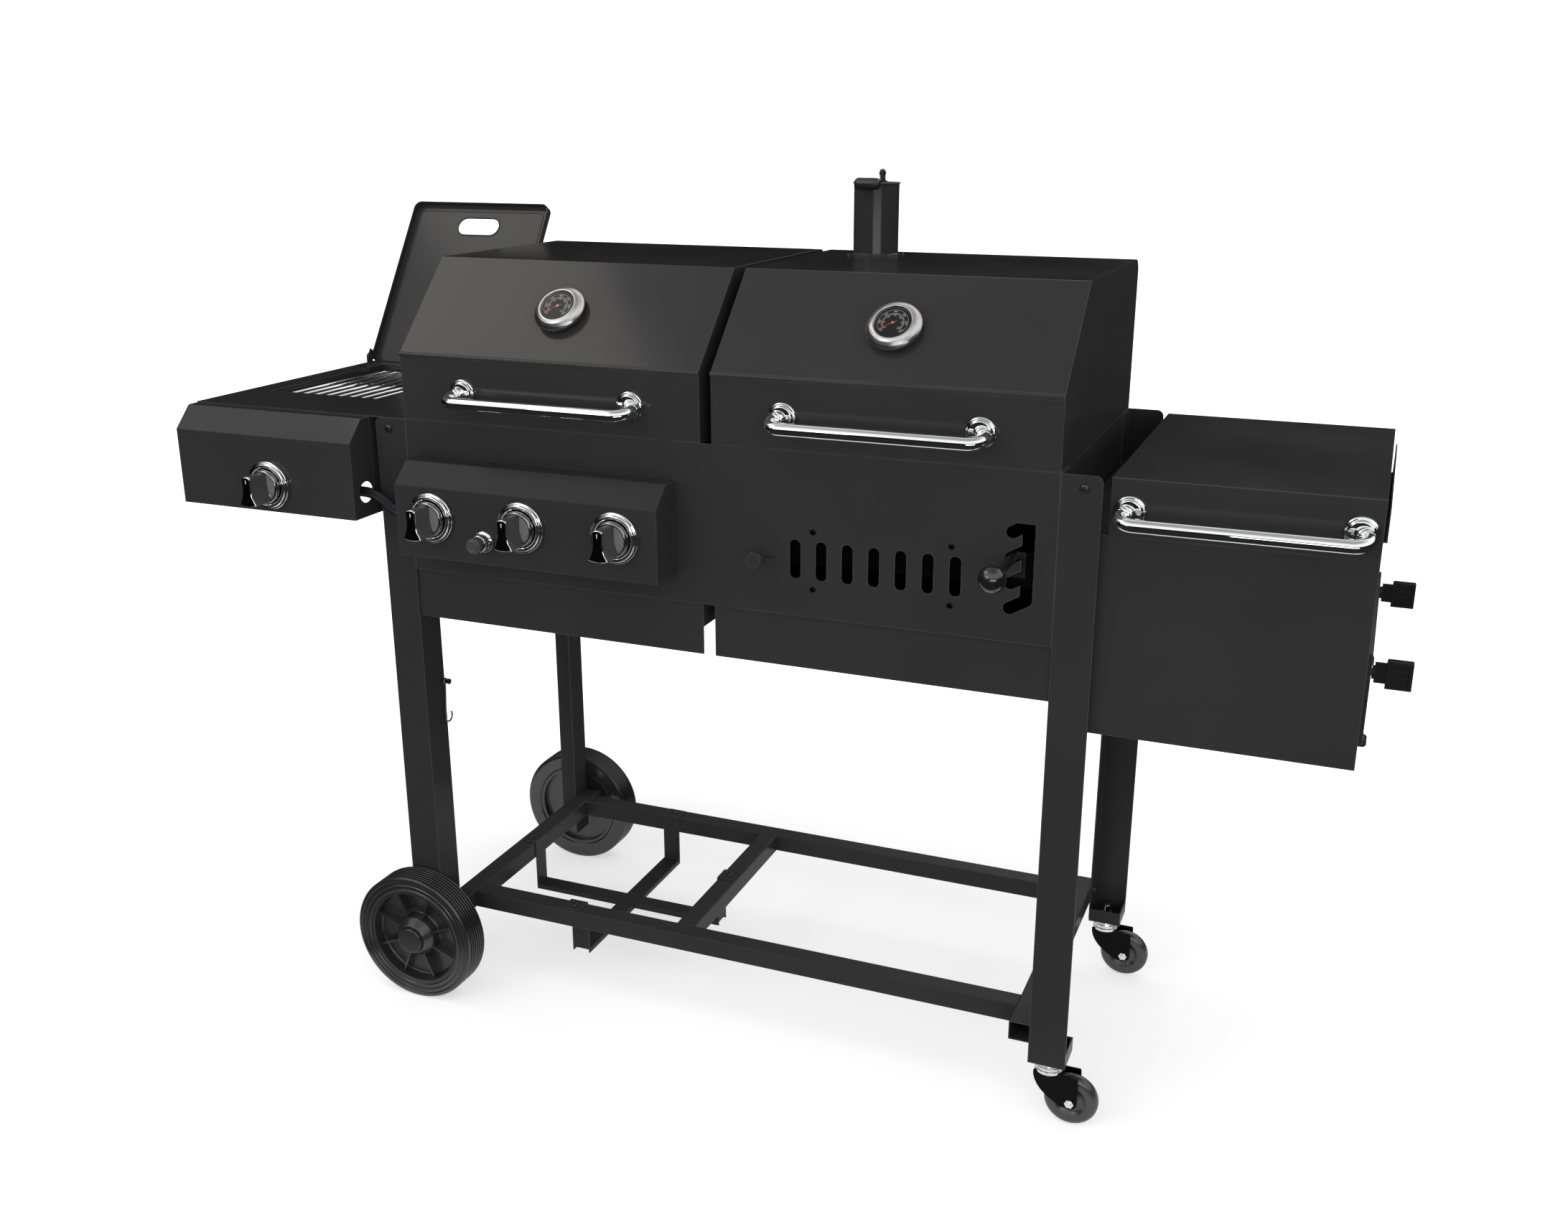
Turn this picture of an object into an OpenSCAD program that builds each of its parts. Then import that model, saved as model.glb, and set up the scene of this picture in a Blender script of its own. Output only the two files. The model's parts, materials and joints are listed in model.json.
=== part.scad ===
// Cart grill with a gas side, a charcoal side, a side burner and an offset firebox.
// Millimetres, +Z up, +X to the right, +Y to the back. The floor is z = 0 and the
// origin is the middle of the whole cart's footprint. The modules work in a bench
// frame whose zero is the middle of the cooking box's front face, at the floor.

/* [Cooking box] */
// Width of the cooking box between the legs
box_w = 1000; // [960:2:1060]
// Depth of the cooking box and of its lids
box_d = 497; // [480:1:540]
// Height of the lid seam above the floor
deck_h = 977; // [940:1:1020]
// Thickness of the folded sheet
sheet = 1.5; // [1.2:0.1:2]
// Height of the front panel
panel_h = 236; // [228:1:250]
// Drop of the firebox floors below the lid seam
floor_drop = 272; // [262:1:290]
// Drop of the skirts below the lid seam
skirt_h = 314; // [300:1:340]
// Gap between the two lids
lid_gap = 18; // [12:1:30]
// Space for the damper between the panel and the fireboxes
damper_space = 2.2; // [2:0.1:3]

/* [Lids] */
// Height of the upright front of a lid
lid_front_h = 100; // [90:1:120]
// Height of a lid
lid_h = 229.5; // [210:0.5:250]
// Depth of the slanted face, measured level
lid_slope_d = 127; // [100:1:160]
// Radius of the rounded back corner
lid_back_r = 23; // [10:1:40]
// Clearance under a closed lid
lid_seam = 0.5; // [0.3:0.1:1]
// Radius of the bead along the front fold
bead_r = 4; // [2:0.5:6]
// Furthest opening of the lids, in degrees
lid_open = 88; // [60:1:90]

/* [Handles] */
// Distance between the two feet of a handle
handle_w = 277; // [240:1:300]
// Diameter of the handle tube
handle_dia = 19; // [16:0.5:22]
// Stand-off of the handle tube
handle_out = 42; // [38:1:55]
// Bend radius of the handle tube
handle_bend = 20; // [16:1:24]
// Downward tilt of the handle, in degrees
handle_tilt = 12; // [0:1:20]
// Diameter of a handle's foot
rosette_dia = 42; // [34:1:48]
// Height of the handle above the lid seam
handle_z = 45; // [38:1:56]

/* [Thermometers] */
// Diameter of the bezel
gauge_dia = 79; // [60:1:90]
// Stand-off of the bezel from the lid
gauge_out = 20; // [14:1:26]
// Distance of the bezel's middle from the front fold
gauge_up = 86; // [70:1:105]

/* [Chimney] */
// Outer diameter of the chimney
flue_dia = 70; // [60:1:76]
// Height of the chimney above the lid
flue_h = 106.5; // [80:0.5:160]
// Place of the chimney from the box's middle
flue_x = 106; // [90:1:200]
// Distance of the chimney's middle from the lid's back
flue_back = 84; // [82:1:107]
// Spacing of the chimney's screws
flue_screws = 66; // [60:1:72]

/* [Cart] */
// Width of a leg's front flange
leg_w = 54.5; // [50:0.5:60]
// Depth of a front leg's inner flange
leg_d = 52; // [46:1:54]
// Depth of a back leg's inner flange
back_leg_d = 45; // [44:1:54]
// Thickness of the leg angle
leg_t = 2; // [1.5:0.1:3]
// Width of a base tube
rail_w = 32; // [28:1:36]
// Height of a base tube
rail_h = 30; // [26:1:34]
// Wall of a base tube
rail_t = 1.5; // [1.2:0.1:2.5]
// Height of the underside of the base tubes
rail_z = 129; // [124:1:150]
// Distance of the front base tube from the front
rail_front = 52; // [52:1:70]
// Distance of the back base tube's front face from the front
rail_back = 436; // [420:1:436]
// Place of the middle base tube's left face
rail_mid_x = -104; // [-130:1:-80]

/* [Bottle cradle] */
// Width of a strap
strap_w = 32; // [26:1:36]
// Thickness of a strap
strap_t = 2; // [1.5:0.1:3]
// Height of the strap that carries the bottle
strap_z = 75; // [68:1:90]
// Depth of the strap's lips
strap_lip = 8; // [5:1:10]
// Distance of the cradle's middle from the front
cradle_y = 262; // [240:1:280]

/* [Wheels] */
// Radius of a tyre
wheel_r = 110; // [95:0.5:114]
// Width of a tyre
wheel_w = 48.8; // [40:0.1:52]
// Gap between wheel and leg
wheel_gap = 2.5; // [2:0.1:5]
// Diameter of the axle
axle_dia = 10; // [8:0.5:12]
// Height of the left legs' lower ends
left_leg_z = 78; // [70:1:84]
// Running clearance of pins and shafts, in radius
run_fit = 0.05; // [0.03:0.01:0.09]

/* [Casters] */
// Height of a caster
caster_h = 102; // [98:1:108]
// Diameter of a caster's wheel
caster_dia = 80; // [72:1:82]
// Width of a caster's wheel
caster_w = 21; // [18:1:24]
// Trail of a caster's wheel behind its stem
caster_trail = 35; // [30:1:38]
// Diameter of the stem
stem_dia = 10; // [8:0.5:12]
// Distance of a stem from the leg's outer face
stem_in = 27; // [24:1:30]

/* [Gas controls] */
// Left end of the control box
panel_x0 = -483.5; // [-485:0.5:-470]
// Right end of the control box
panel_x1 = -48.5; // [-70:0.5:-30]
// Depth of the control box
ctrl_d = 62.7; // [55:0.1:75]
// Drop of the control box's underside below the lid seam
ctrl_drop = 195.6; // [188:0.1:205]
// Drop of the control box's lower fold
ctrl_fold = 87; // [80:1:92]
// Drop of the control box's top
ctrl_top = 56; // [50:1:62]
// Depth of the control box's top
ctrl_top_d = 29; // [20:1:36]
// Drop of the knobs below the lid seam
knob_drop = 131.5; // [125:0.5:138]
// Distance between knobs
knob_pitch = 153; // [120:1:160]
// Diameter of a knob's bezel
bezel_dia = 76; // [60:1:80]
// Diameter of a knob
knob_dia = 52; // [44:1:56]
// Length of a knob
knob_len = 43; // [34:1:48]
// Width of a knob's grip
grip_w = 15; // [12:0.5:18]
// Diameter of the igniter's nut
nut_dia = 33; // [28:1:36]
// Travel of the igniter button
button_travel = 3; // [2:0.5:4]

/* [Charcoal controls] */
// Number of air slots
slots = 7; // [5:1:7]
// Distance between air slots
slot_pitch = 38.4; // [36:0.1:42]
// Width of an air slot
slot_w = 16.2; // [12:0.1:17]
// Length of an air slot
slot_len = 56.6; // [45:0.1:64]
// Middle of the air slots from the box's middle
slot_mid = 250; // [240:1:260]
// Drop of the middle of the air slots
slot_drop = 153.2; // [145:0.1:158]
// Travel of the damper
damper_travel = 20; // [18:0.5:20]
// Number of heights of the charcoal tray
notches = 4; // [3:1:4]
// Distance between the notches
notch_pitch = 34.8; // [34:0.1:37]
// Diameter of the tray's lever rod
lever_dia = 13; // [11:0.5:14]
// Diameter of the lever's knob
lever_knob = 37; // [32:1:40]
// Reach of the lever's knob in front of the panel
lever_out = 118; // [100:1:130]

/* [Side burner] */
// Width of the side burner box
side_w = 331.5; // [320:0.5:340]
// Gap between the side burner box and the legs
side_gap = 12; // [8:0.5:14]
// Depth of the side fascia
side_d = 51.8; // [45:0.1:60]
// Height of the side burner box
side_h = 154; // [140:1:165]
// Width of the side lid
side_lid_w = 292; // [286:1:300]
// Length of the side lid from its hinge
side_lid_d = 326; // [320:1:338]
// Distance of the side lid's hinge from the front
side_hinge_y = 450; // [446:1:456]
// Height of the side lid's hinge above the tray
side_hinge_up = 9.2; // [9:0.1:12]
// Depth of the side lid's folded rim
side_rim = 14; // [10:1:20]
// Opening of the side lid, in degrees
side_open = 123; // [100:1:123]
// Width of the burner's recess
pan_w = 210; // [190:1:230]
// Depth of the burner's recess
pan_drop = 45; // [38:1:60]
// Diameter of the gas hose
hose_dia = 16; // [12:0.5:17]

/* [Offset firebox] */
// Width of the offset firebox's lid
fire_w = 328; // [310:1:350]
// Gap between the leg and the firebox lid
fire_gap = 8.5; // [6:0.5:12]
// Distance of the firebox from the front
fire_y = 11; // [8:1:16]
// Depth of the firebox
fire_d = 474; // [470:1:476]
// Drop of the firebox's seam below the cooking lids' seam
fire_seam = 78.5; // [70:0.5:90]
// Drop of the firebox's floor
fire_drop = 353.5; // [340:0.5:370]
// Wall of the firebox
fire_t = 2; // [1.5:0.1:2.5]
// Height of the ash door
door_h = 124; // [112:1:126]
// Height of the ash door above the firebox's floor
door_up = 17.5; // [14:0.5:24]
// Furthest opening of the ash door, in degrees
door_open = 100; // [80:1:110]

/* [Hidden] */
$fn = 48;
eps = 0.01;
gap = 0.3;
band = 0.3;
hw = box_w / 2;
leg_mid = hw + leg_w / 2;
lid_w = (box_w - lid_gap) / 2;
lid_top = deck_h + lid_h;
slope_a = atan2(lid_h - lid_front_h, lid_slope_d);
flue_y = box_d - flue_back;
front_in = sheet + damper_space;
pin_dia = 5;
knuckle_r = 6;
hinge_y = box_d + 2 + knuckle_r - 1;
rail_top = rail_z + rail_h;
left_leg_top = deck_h - sheet;
hub_cap = 11;
knob_mid = (panel_x0 + panel_x1) / 2;
knob_z = deck_h - knob_drop;
knob_xs = [for (i = [-1:1]) knob_mid + i * knob_pitch];
bezel_h = 11;
manifold_z = knob_z - 14;
manifold_y = -20;
grate_z = deck_h - 45;
slot_z = deck_h - slot_drop;
notch_w = lever_dia + 4;
notch_x = hw - 59.5;
notch_top = deck_h - 83.7;
notch_a = 30;
lane_x1 = hw - 29;
lever_drop = (notch_w - lever_dia) / 2 - gap;
lever_z = notch_top - notch_pitch - lever_drop;
lever_slide = (lane_x1 - lever_dia / 2 - gap - notch_x) / cos(notch_a);
side_x1 = -hw - leg_w - side_gap;
side_x0 = side_x1 - side_w;
side_knob_x = (side_x0 + side_x1) / 2 + 9;
side_knob_z = deck_h - 111;
lid_mid_x = side_x0 + 3 + side_lid_w / 2;
lid_lift = 16;
pan_x0 = lid_mid_x - pan_w / 2;
pan_x1 = lid_mid_x + pan_w / 2;
pan_y0 = side_hinge_y - side_lid_d + 2;
pan_y1 = side_hinge_y - 18;
side_hinge_z = deck_h + side_hinge_up;
fire_x0 = hw + leg_w + fire_gap;
fire_x1 = fire_x0 + fire_w;
fire_y1 = fire_y + fire_d;
fire_top = deck_h - fire_seam;
fire_z = deck_h - fire_drop;
door_z = fire_z + door_up;
door_y0 = fire_y + 49;
door_y1 = fire_y1 - 30;
latch_in = 13;
latch_z = door_z + door_h - 28;
latch_out = 55;
hook_y = 45;
hook_z = deck_h - 438;
hook_a = -5;
hose_z0 = deck_h - 115.5;
hose_z1 = manifold_z;

// The cart's outer box, for the origin
x_min = side_x0;
x_max = fire_x1 + latch_out;
y_min = -max(lever_out, ctrl_d + bezel_h + knob_len);
y_max = max(side_hinge_y + side_lid_d * sin(side_open - 90) + lid_lift * cos(side_open - 90),
            box_d + wheel_gap + wheel_w + hub_cap);

// ---------------------------------------------------------------- shapes
module place() translate([-(x_min + x_max) / 2, -(y_min + y_max) / 2, 0]) children();

module box(a, b) translate(a) cube(b - a);

// Round bars between two coordinates along each axis
module bar_x(x0, x1, y, z, r) translate([x0, y, z]) rotate([0, 90, 0]) cylinder(h = x1 - x0, r = r);
module bar_y(y0, y1, x, z, r) translate([x, y0, z]) rotate([-90, 0, 0]) cylinder(h = y1 - y0, r = r);
module bar_z(z0, z1, x, y, r) translate([x, y, z0]) cylinder(h = z1 - z0, r = r);

// A y-z outline pushed along x
module push_x(x0, x1) translate([x0, 0, 0]) rotate([90, 0, 90]) linear_extrude(x1 - x0) children();
// An x-z outline pushed along y
module push_y(y0, y1) translate([0, y1, 0]) rotate([90, 0, 0]) linear_extrude(y1 - y0) children();

// A turned shape whose axis points to the front, profile given as [radius, reach]
module turned_front(x, y, z) translate([x, y, z]) rotate([90, 0, 0]) rotate_extrude() children();

// Round-ended slot from a to b
module slot2d(a, b, w) {
    d = b - a;
    translate(a) circle(d = w);
    translate(b) circle(d = w);
    translate(a) rotate(atan2(d[1], d[0])) translate([0, -w / 2]) square([norm(d), w]);
}

// Plate outline with its two far corners rounded
module tab2d(w, h, r) {
    square([w, h - r]);
    translate([0, h - r - eps]) square([w - r, r + eps]);
    translate([w - r, h - r]) circle(r);
}

// ---------------------------------------------------------------- cart
// One leg of steel angle; sx is its side and back says which end it stands at
module leg_angle(sx, back, z0, z1) {
    depth = back ? back_leg_d : leg_d;
    translate([0, back ? box_d : 0, 0]) mirror([0, back ? 1 : 0, 0])
        mirror([sx < 0 ? 1 : 0, 0, 0]) translate([hw, 0, z0]) {
            rotate([90, 0, 0]) mirror([0, 0, 1]) linear_extrude(leg_t) tab2d(leg_w, z1 - z0, 10);
            rotate([90, 0, 90]) linear_extrude(leg_t) tab2d(depth, z1 - z0, 6);
        }
}

module left_leg(back) color("#2b2a2b") difference() {
    leg_angle(-1, back, left_leg_z, left_leg_top);
    bar_y(-5, box_d + 5, -leg_mid, wheel_r, axle_dia / 2 + run_fit);
    if (!back) bar_x(-hw - 10, -hw + 10, hook_y, hook_z, 2.6);
}
module front_left_leg() place() left_leg(false);
module back_left_leg() place() left_leg(true);

// A right leg ends in a small lipped pan that takes the caster's stem
module right_leg(back) {
    reach = 2 * stem_in - leg_t;
    lip = 22;
    color("#2b2a2b") difference() {
        union() {
            leg_angle(1, back, caster_h, deck_h);
            translate([0, back ? box_d : 0, 0]) mirror([0, back ? 1 : 0, 0]) {
                box([hw + leg_t - eps, leg_t - eps, caster_h], [hw + leg_w, reach + leg_t, caster_h + leg_t]);
                box([hw + leg_w - leg_t, leg_t - eps, caster_h], [hw + leg_w, reach + leg_t, caster_h + lip]);
                box([hw + leg_t - eps, reach, caster_h], [hw + leg_w, reach + leg_t, caster_h + lip]);
            }
        }
        bar_z(caster_h - 5, caster_h + 5, leg_mid, back ? box_d - stem_in : stem_in, stem_dia / 2 + run_fit);
    }
}
module front_right_leg() place() right_leg(false);
module back_right_leg() place() right_leg(true);

// Square tubes of the base: open-ended, walls rail_t thick
module tube_x(x0, x1, y) difference() {
    box([x0, y, rail_z], [x1, y + rail_w, rail_top]);
    box([x0 - 1, y + rail_t, rail_z + rail_t], [x1 + 1, y + rail_w - rail_t, rail_top - rail_t]);
}
module tube_y(y0, y1, x) difference() {
    box([x, y0, rail_z], [x + rail_w, y1, rail_top]);
    box([x + rail_t, y0 - 1, rail_z + rail_t], [x + rail_w - rail_t, y1 + 1, rail_top - rail_t]);
}
module cross_rails() place() color("#2c2b2c") {
    tube_x(-hw + rail_w, hw - rail_w, rail_front);
    tube_x(-hw + rail_w, hw - rail_w, rail_back);
}
module side_rails() place() color("#2c2b2c") {
    tube_y(7.5, box_d - 7.5, -hw);
    tube_y(7.5, box_d - 7.5, hw - rail_w);
    tube_y(rail_front + rail_w, rail_back, rail_mid_x);
}

// A strap that hooks over two rails and hangs between them; z is its carrying face
module strap(a, b, z) {
    tab = rail_w - 4;
    difference() {
        push_y(-strap_w / 2, strap_w / 2) difference() {
            translate([a - tab, z - strap_t]) square([b - a + 2 * tab, rail_top + strap_t - z + strap_t]);
            translate([a + strap_t, z]) square([b - a - 2 * strap_t, rail_top + strap_t - z + 1]);
            translate([a - tab - 1, z - strap_t - 1]) square([tab + 1, rail_top - z + strap_t + 1]);
            translate([b, z - strap_t - 1]) square([tab + 1, rail_top - z + strap_t + 1]);
        }
    }
    for (s = [-1, 1]) translate([a, s > 0 ? strap_w / 2 - strap_t : -strap_w / 2, z - strap_lip])
        cube([b - a, strap_t, strap_lip - strap_t + eps]);
}
cradle_x0 = -hw + rail_w;
cradle_x = (cradle_x0 + rail_mid_x) / 2;
module tank_cradle() place() color("#2a292a") {
    difference() {
        translate([0, cradle_y, 0]) strap(cradle_x0, rail_mid_x, strap_z);
        box([cradle_x - strap_w / 2 - 0.5, 0, 0], [cradle_x + strap_w / 2 + 0.5, box_d, strap_z - strap_t]);
    }
    translate([cradle_x, 0, 0]) rotate([0, 0, 90])
        strap(rail_front + rail_w, rail_back, strap_z - strap_t);
}

// ---------------------------------------------------------------- wheels
module wheel_axle() place() color("#8a8a8c") {
    bar_y(-wheel_gap - wheel_w - 4, box_d + wheel_gap + wheel_w + 4, -leg_mid, wheel_r, axle_dia / 2);
    for (y = [-wheel_gap + gap, box_d]) bar_y(y, y + wheel_gap - gap, -leg_mid, wheel_r, axle_dia);
}

rim_r = wheel_r - 29;
// Tyre with five grooves round its tread; reach runs from the inner to the outer face
module tyre() rotate_extrude() difference() {
    translate([rim_r, 0]) union() {
        square([wheel_r - rim_r - 5, wheel_w]);
        translate([0, 5]) square([wheel_r - rim_r, wheel_w - 10]);
        for (y = [5, wheel_w - 5]) translate([wheel_r - rim_r - 5, y]) circle(5);
    }
    for (i = [-2:2]) translate([wheel_r + 0.6, wheel_w / 2 + i * 7.5]) circle(1.8);
    for (r = [rim_r + 5, rim_r + 10, rim_r + 15]) translate([r, wheel_w + 0.6]) circle(1.6);
}
// Rim: dished disc, eight ribs, conical hub and flat cap
module rim() {
    hub_r = 21;
    difference() {
        union() {
            rotate_extrude() polygon([[0, 0], [hub_r, 0], [hub_r, 14], [rim_r - 6, 14], [rim_r - 6, 2],
                                      [rim_r, 2], [rim_r, wheel_w - 2], [rim_r - 4, wheel_w - 3],
                                      [rim_r - 7, 24], [32, 18], [28, wheel_w - 6],
                                      [20, wheel_w + 5], [0, wheel_w + 5]]);
            for (i = [0:7]) rotate(i * 45 + 22.5) rotate([90, 0, 0]) translate([0, 0, -1.5])
                linear_extrude(3) polygon([[24, 16], [rim_r - 6, 20], [rim_r - 4, wheel_w - 9], [26, wheel_w - 8]]);
        }
        translate([0, 0, -1]) cylinder(h = wheel_w + 7 - 0.5, r = axle_dia / 2 + run_fit);
    }
    translate([0, 0, wheel_w + 5]) cylinder(h = hub_cap - 5, r1 = 17, r2 = 16);
}
module at_wheel(back) translate([-leg_mid, back ? box_d + wheel_gap : -wheel_gap, wheel_r])
    rotate([back ? -90 : 90, 0, 0]) children();
module front_wheel_tyre() place() color("#242424") at_wheel(false) tyre();
module front_wheel_rim() place() color("#262526") at_wheel(false) rim();
module back_wheel_tyre() place() color("#242424") at_wheel(true) tyre();
module back_wheel_rim() place() color("#262526") at_wheel(true) rim();

// ---------------------------------------------------------------- casters
race_r = 21;
race_h = 15;
fork_t = 2.5;
fork_gap = 1.5;
module at_caster(back) translate([leg_mid, back ? box_d - stem_in : stem_in, 0]) children();
module caster_stem() {
    translate([0, 0, caster_h - race_h]) {
        cylinder(h = 4, r1 = race_r - 2, r2 = race_r + 1);
        translate([0, 0, 4]) cylinder(h = race_h - 4, r = race_r);
    }
    translate([0, 0, caster_h - race_h - 12]) cylinder(h = race_h + 12 + 20, r = stem_dia / 2);
    translate([0, 0, caster_h - race_h - 16]) cylinder(h = 4.5, r = stem_dia / 2 + 3);
    difference() {
        translate([0, 0, caster_h + leg_t]) cylinder(h = 8, r = 9.5, $fn = 6);
        translate([0, 0, caster_h + leg_t - 1]) cylinder(h = 20, r = stem_dia / 2);
    }
}
module caster_stems() place() color("#d8d8da") for (b = [false, true]) at_caster(b) caster_stem();

module caster_fork() {
    top = caster_h - race_h - gap;
    half = caster_w / 2 + fork_gap;
    difference() {
        union() {
            translate([0, 0, top - 5]) cylinder(h = 5, r = race_r);
            box([-race_r + 1, -half - fork_t, top - 7.5], [race_r - 4, half + fork_t, top - 5 + eps]);
            for (s = [-1, 1]) push_y(s > 0 ? half : -half - fork_t, s > 0 ? half + fork_t : -half) {
                polygon([[-race_r + 1, top - 5], [-race_r + 2, top - 16], [-race_r + 9, top - 30],
                         [-2, top - 42], [caster_trail - 11, caster_dia / 2 - 9],
                         [caster_trail, caster_dia / 2 - 11], [caster_trail + 10, caster_dia / 2],
                         [caster_trail + 10, top - 7], [caster_trail + 8, top - 5]]);
                translate([caster_trail, caster_dia / 2]) circle(11);
            }
            bar_y(-half - fork_t - 4, half + fork_t + 4, caster_trail, caster_dia / 2, 4);
            for (s = [-1, 1]) translate([caster_trail, s * (half + fork_t + 1.5), caster_dia / 2])
                rotate([90, 0, 0]) cylinder(h = 5, r = 7, center = true, $fn = 6);
        }
        translate([0, 0, top - 20]) cylinder(h = 30, r = stem_dia / 2 + run_fit);
    }
}
module caster_wheel() translate([caster_trail, 0, caster_dia / 2]) rotate([90, 0, 0])
    translate([0, 0, -caster_w / 2]) rotate_extrude() {
        r = caster_dia / 2;
        polygon([[4 + run_fit, -1], [8, -1], [10, 2], [17, 3], [20, 0], [r - 2, 0], [r, 3],
                 [r, caster_w - 3], [r - 2, caster_w], [20, caster_w], [17, caster_w - 3],
                 [10, caster_w - 2], [8, caster_w + 1], [4 + run_fit, caster_w + 1]]);
    }
module front_caster_fork() place() color("#1c1c1c") at_caster(false) caster_fork();
module front_caster_wheel() place() color("#2a2a2a") at_caster(false) caster_wheel();
module back_caster_fork() place() color("#1c1c1c") at_caster(true) caster_fork();
module back_caster_wheel() place() color("#2a2a2a") at_caster(true) caster_wheel();

// ---------------------------------------------------------------- fireboxes
floor_z = deck_h - floor_drop;
ledge_z = grate_z - 4;
tent_z = knob_z + 14;
back_in = box_d - sheet;

// Open-topped box of sheet with a long front skirt and ledges for what lies in it
module cook_box(x0, x1, ledges) {
    difference() {
        box([x0, front_in, floor_z], [x1, box_d, deck_h]);
        box([x0 + sheet, front_in + sheet, floor_z + sheet], [x1 - sheet, back_in, deck_h + 1]);
    }
    box([x0, front_in, deck_h - skirt_h], [x1, front_in + sheet, floor_z + eps]);
    box([x0, sheet, deck_h - sheet], [x1, front_in + eps, deck_h]);
    for (z = ledges) {
        box([x0 + sheet - eps, front_in + sheet - eps, z - sheet], [x1 - sheet + eps, front_in + sheet + 10, z]);
        box([x0 + sheet - eps, back_in - 10, z - sheet], [x1 - sheet + eps, back_in + eps, z]);
    }
}

drip_w = 300;
drip_d = 330;
drip_h = 22;
drip_x = knob_mid;
drip_y0 = box_d - drip_d - 10;
module gas_firebox() place() color("#262626") difference() {
    union() {
        cook_box(-hw, -lid_gap / 2, [ledge_z, tent_z]);
        // runners for the grease tray
        for (s = [-1, 1]) {
            box([drip_x + s * (drip_w / 2 + 1.5) - sheet / 2, drip_y0, floor_z - drip_h - 6],
                [drip_x + s * (drip_w / 2 + 1.5) + sheet / 2, box_d - 6, floor_z + eps]);
            box([drip_x + s * (drip_w / 2 - 4) - 6, drip_y0, floor_z - drip_h - 6],
                [drip_x + s * (drip_w / 2 - 4) + 6, box_d - 6, floor_z - drip_h - 6 + sheet]);
        }
    }
    for (x = knob_xs) bar_y(-5, 30, x, manifold_z, 13.5);
    box([drip_x - 100, drip_y0 + 60, floor_z - 1], [drip_x + 100, drip_y0 + 260, floor_z + 5]);
}

rack_z0 = notch_top - (notches - 1) * notch_pitch - 24;
rack_z1 = notch_top + 26;
passage_y0 = 130;
passage_y1 = 370;
passage_z0 = fire_top - 100;
passage_z1 = fire_top - 14;
module charcoal_firebox() place() color("#262626") difference() {
    union() {
        cook_box(lid_gap / 2, hw, [ledge_z]);
        // notched plate that carries the tray's back pin
        difference() {
            union() {
                box([notch_x - 26, back_in - 12, rack_z0], [lane_x1 + 12, back_in - 10, rack_z1]);
                for (x = [notch_x - 26, lane_x1 + 10]) box([x, back_in - 12, rack_z0], [x + 2, back_in + eps, rack_z1]);
            }
            translate([0, back_in - 11, 0]) push_y(-5, 5) zigzag();
        }
    }
    vent_x0 = slot_mid - (slots - 1) / 2 * slot_pitch - slot_w;
    vent_x1 = slot_mid + (slots - 1) / 2 * slot_pitch + slot_w;
    box([vent_x0, front_in - 1, slot_z - slot_len / 2], [vent_x1, front_in + 5, slot_z + slot_len / 2]);
    box([notch_x - notch_w, front_in - 1, notch_top - (notches - 1) * notch_pitch - notch_w],
        [lane_x1 + 5, front_in + 5, notch_top + 24]);
    box([hw - 5, passage_y0, passage_z0], [hw + 5, passage_y1, passage_z1]);
    guide_screws(2.6);
}

// The four screws that guide the damper
module guide_screws(r) for (x = guide_xs) for (s = [-1, 1])
    bar_y(-5, 20, x, slot_z + s * (slot_len / 2 + 13), r);

slot_xs = [for (i = [0:slots - 1]) slot_mid + (i - (slots - 1) / 2) * slot_pitch];
vent_half = (slots - 1) / 2 * slot_pitch;
guide_xs = [slot_mid - vent_half + 26.2, slot_mid + vent_half - 6.2];
damper_x = slot_mid - vent_half - 51.3;
damper_half = slot_len / 2 + 13 - 2.5 - gap;
module zigzag() {
    lane_x = lane_x1 - notch_w / 2;
    rise = (lane_x - notch_x) * tan(notch_a);
    low = notch_top - (notches - 1) * notch_pitch;
    intersection() {
        translate([notch_x - 30, low - 30]) square([100, notch_top + rise - low + 30]);
        union() {
            for (i = [0:notches - 1]) slot2d([notch_x, low + i * notch_pitch],
                                             [lane_x, low + i * notch_pitch + rise], notch_w);
            translate([lane_x - notch_w / 2, low + rise]) square([notch_w, notch_top - low]);
        }
    }
}
module front_panel() place() color("#272727") difference() {
    push_y(0, sheet) difference() {
        translate([-hw, deck_h - panel_h]) square([box_w, panel_h]);
        for (x = slot_xs) slot2d([x, slot_z - (slot_len - slot_w) / 2],
                                 [x, slot_z + (slot_len - slot_w) / 2], slot_w);
        slot2d([damper_x, slot_z], [damper_x + damper_travel, slot_z], 7);
        zigzag();
        for (x = knob_xs) translate([x, manifold_z]) circle(13.5);
    }
    guide_screws(2.6);
}

module vent_damper() place() color("#232323") {
    y0 = sheet + 0.5;
    y1 = front_in - 0.5;
    push_y(y0, y1) difference() {
        translate([damper_x - 14, slot_z - damper_half])
            square([slot_xs[slots - 1] - damper_x + 14 + slot_w, 2 * damper_half]);
        for (x = slot_xs) slot2d([x, slot_z - (slot_len - slot_w) / 2],
                                 [x, slot_z + (slot_len - slot_w) / 2], slot_w + 1);
    }
    turned_front(damper_x, y0 + eps, slot_z)
        polygon([[0, 0], [3, 0], [3, 12], [6, 14], [8, 22], [13, 24], [13, 29], [11, 33], [0, 33]]);
}

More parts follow.
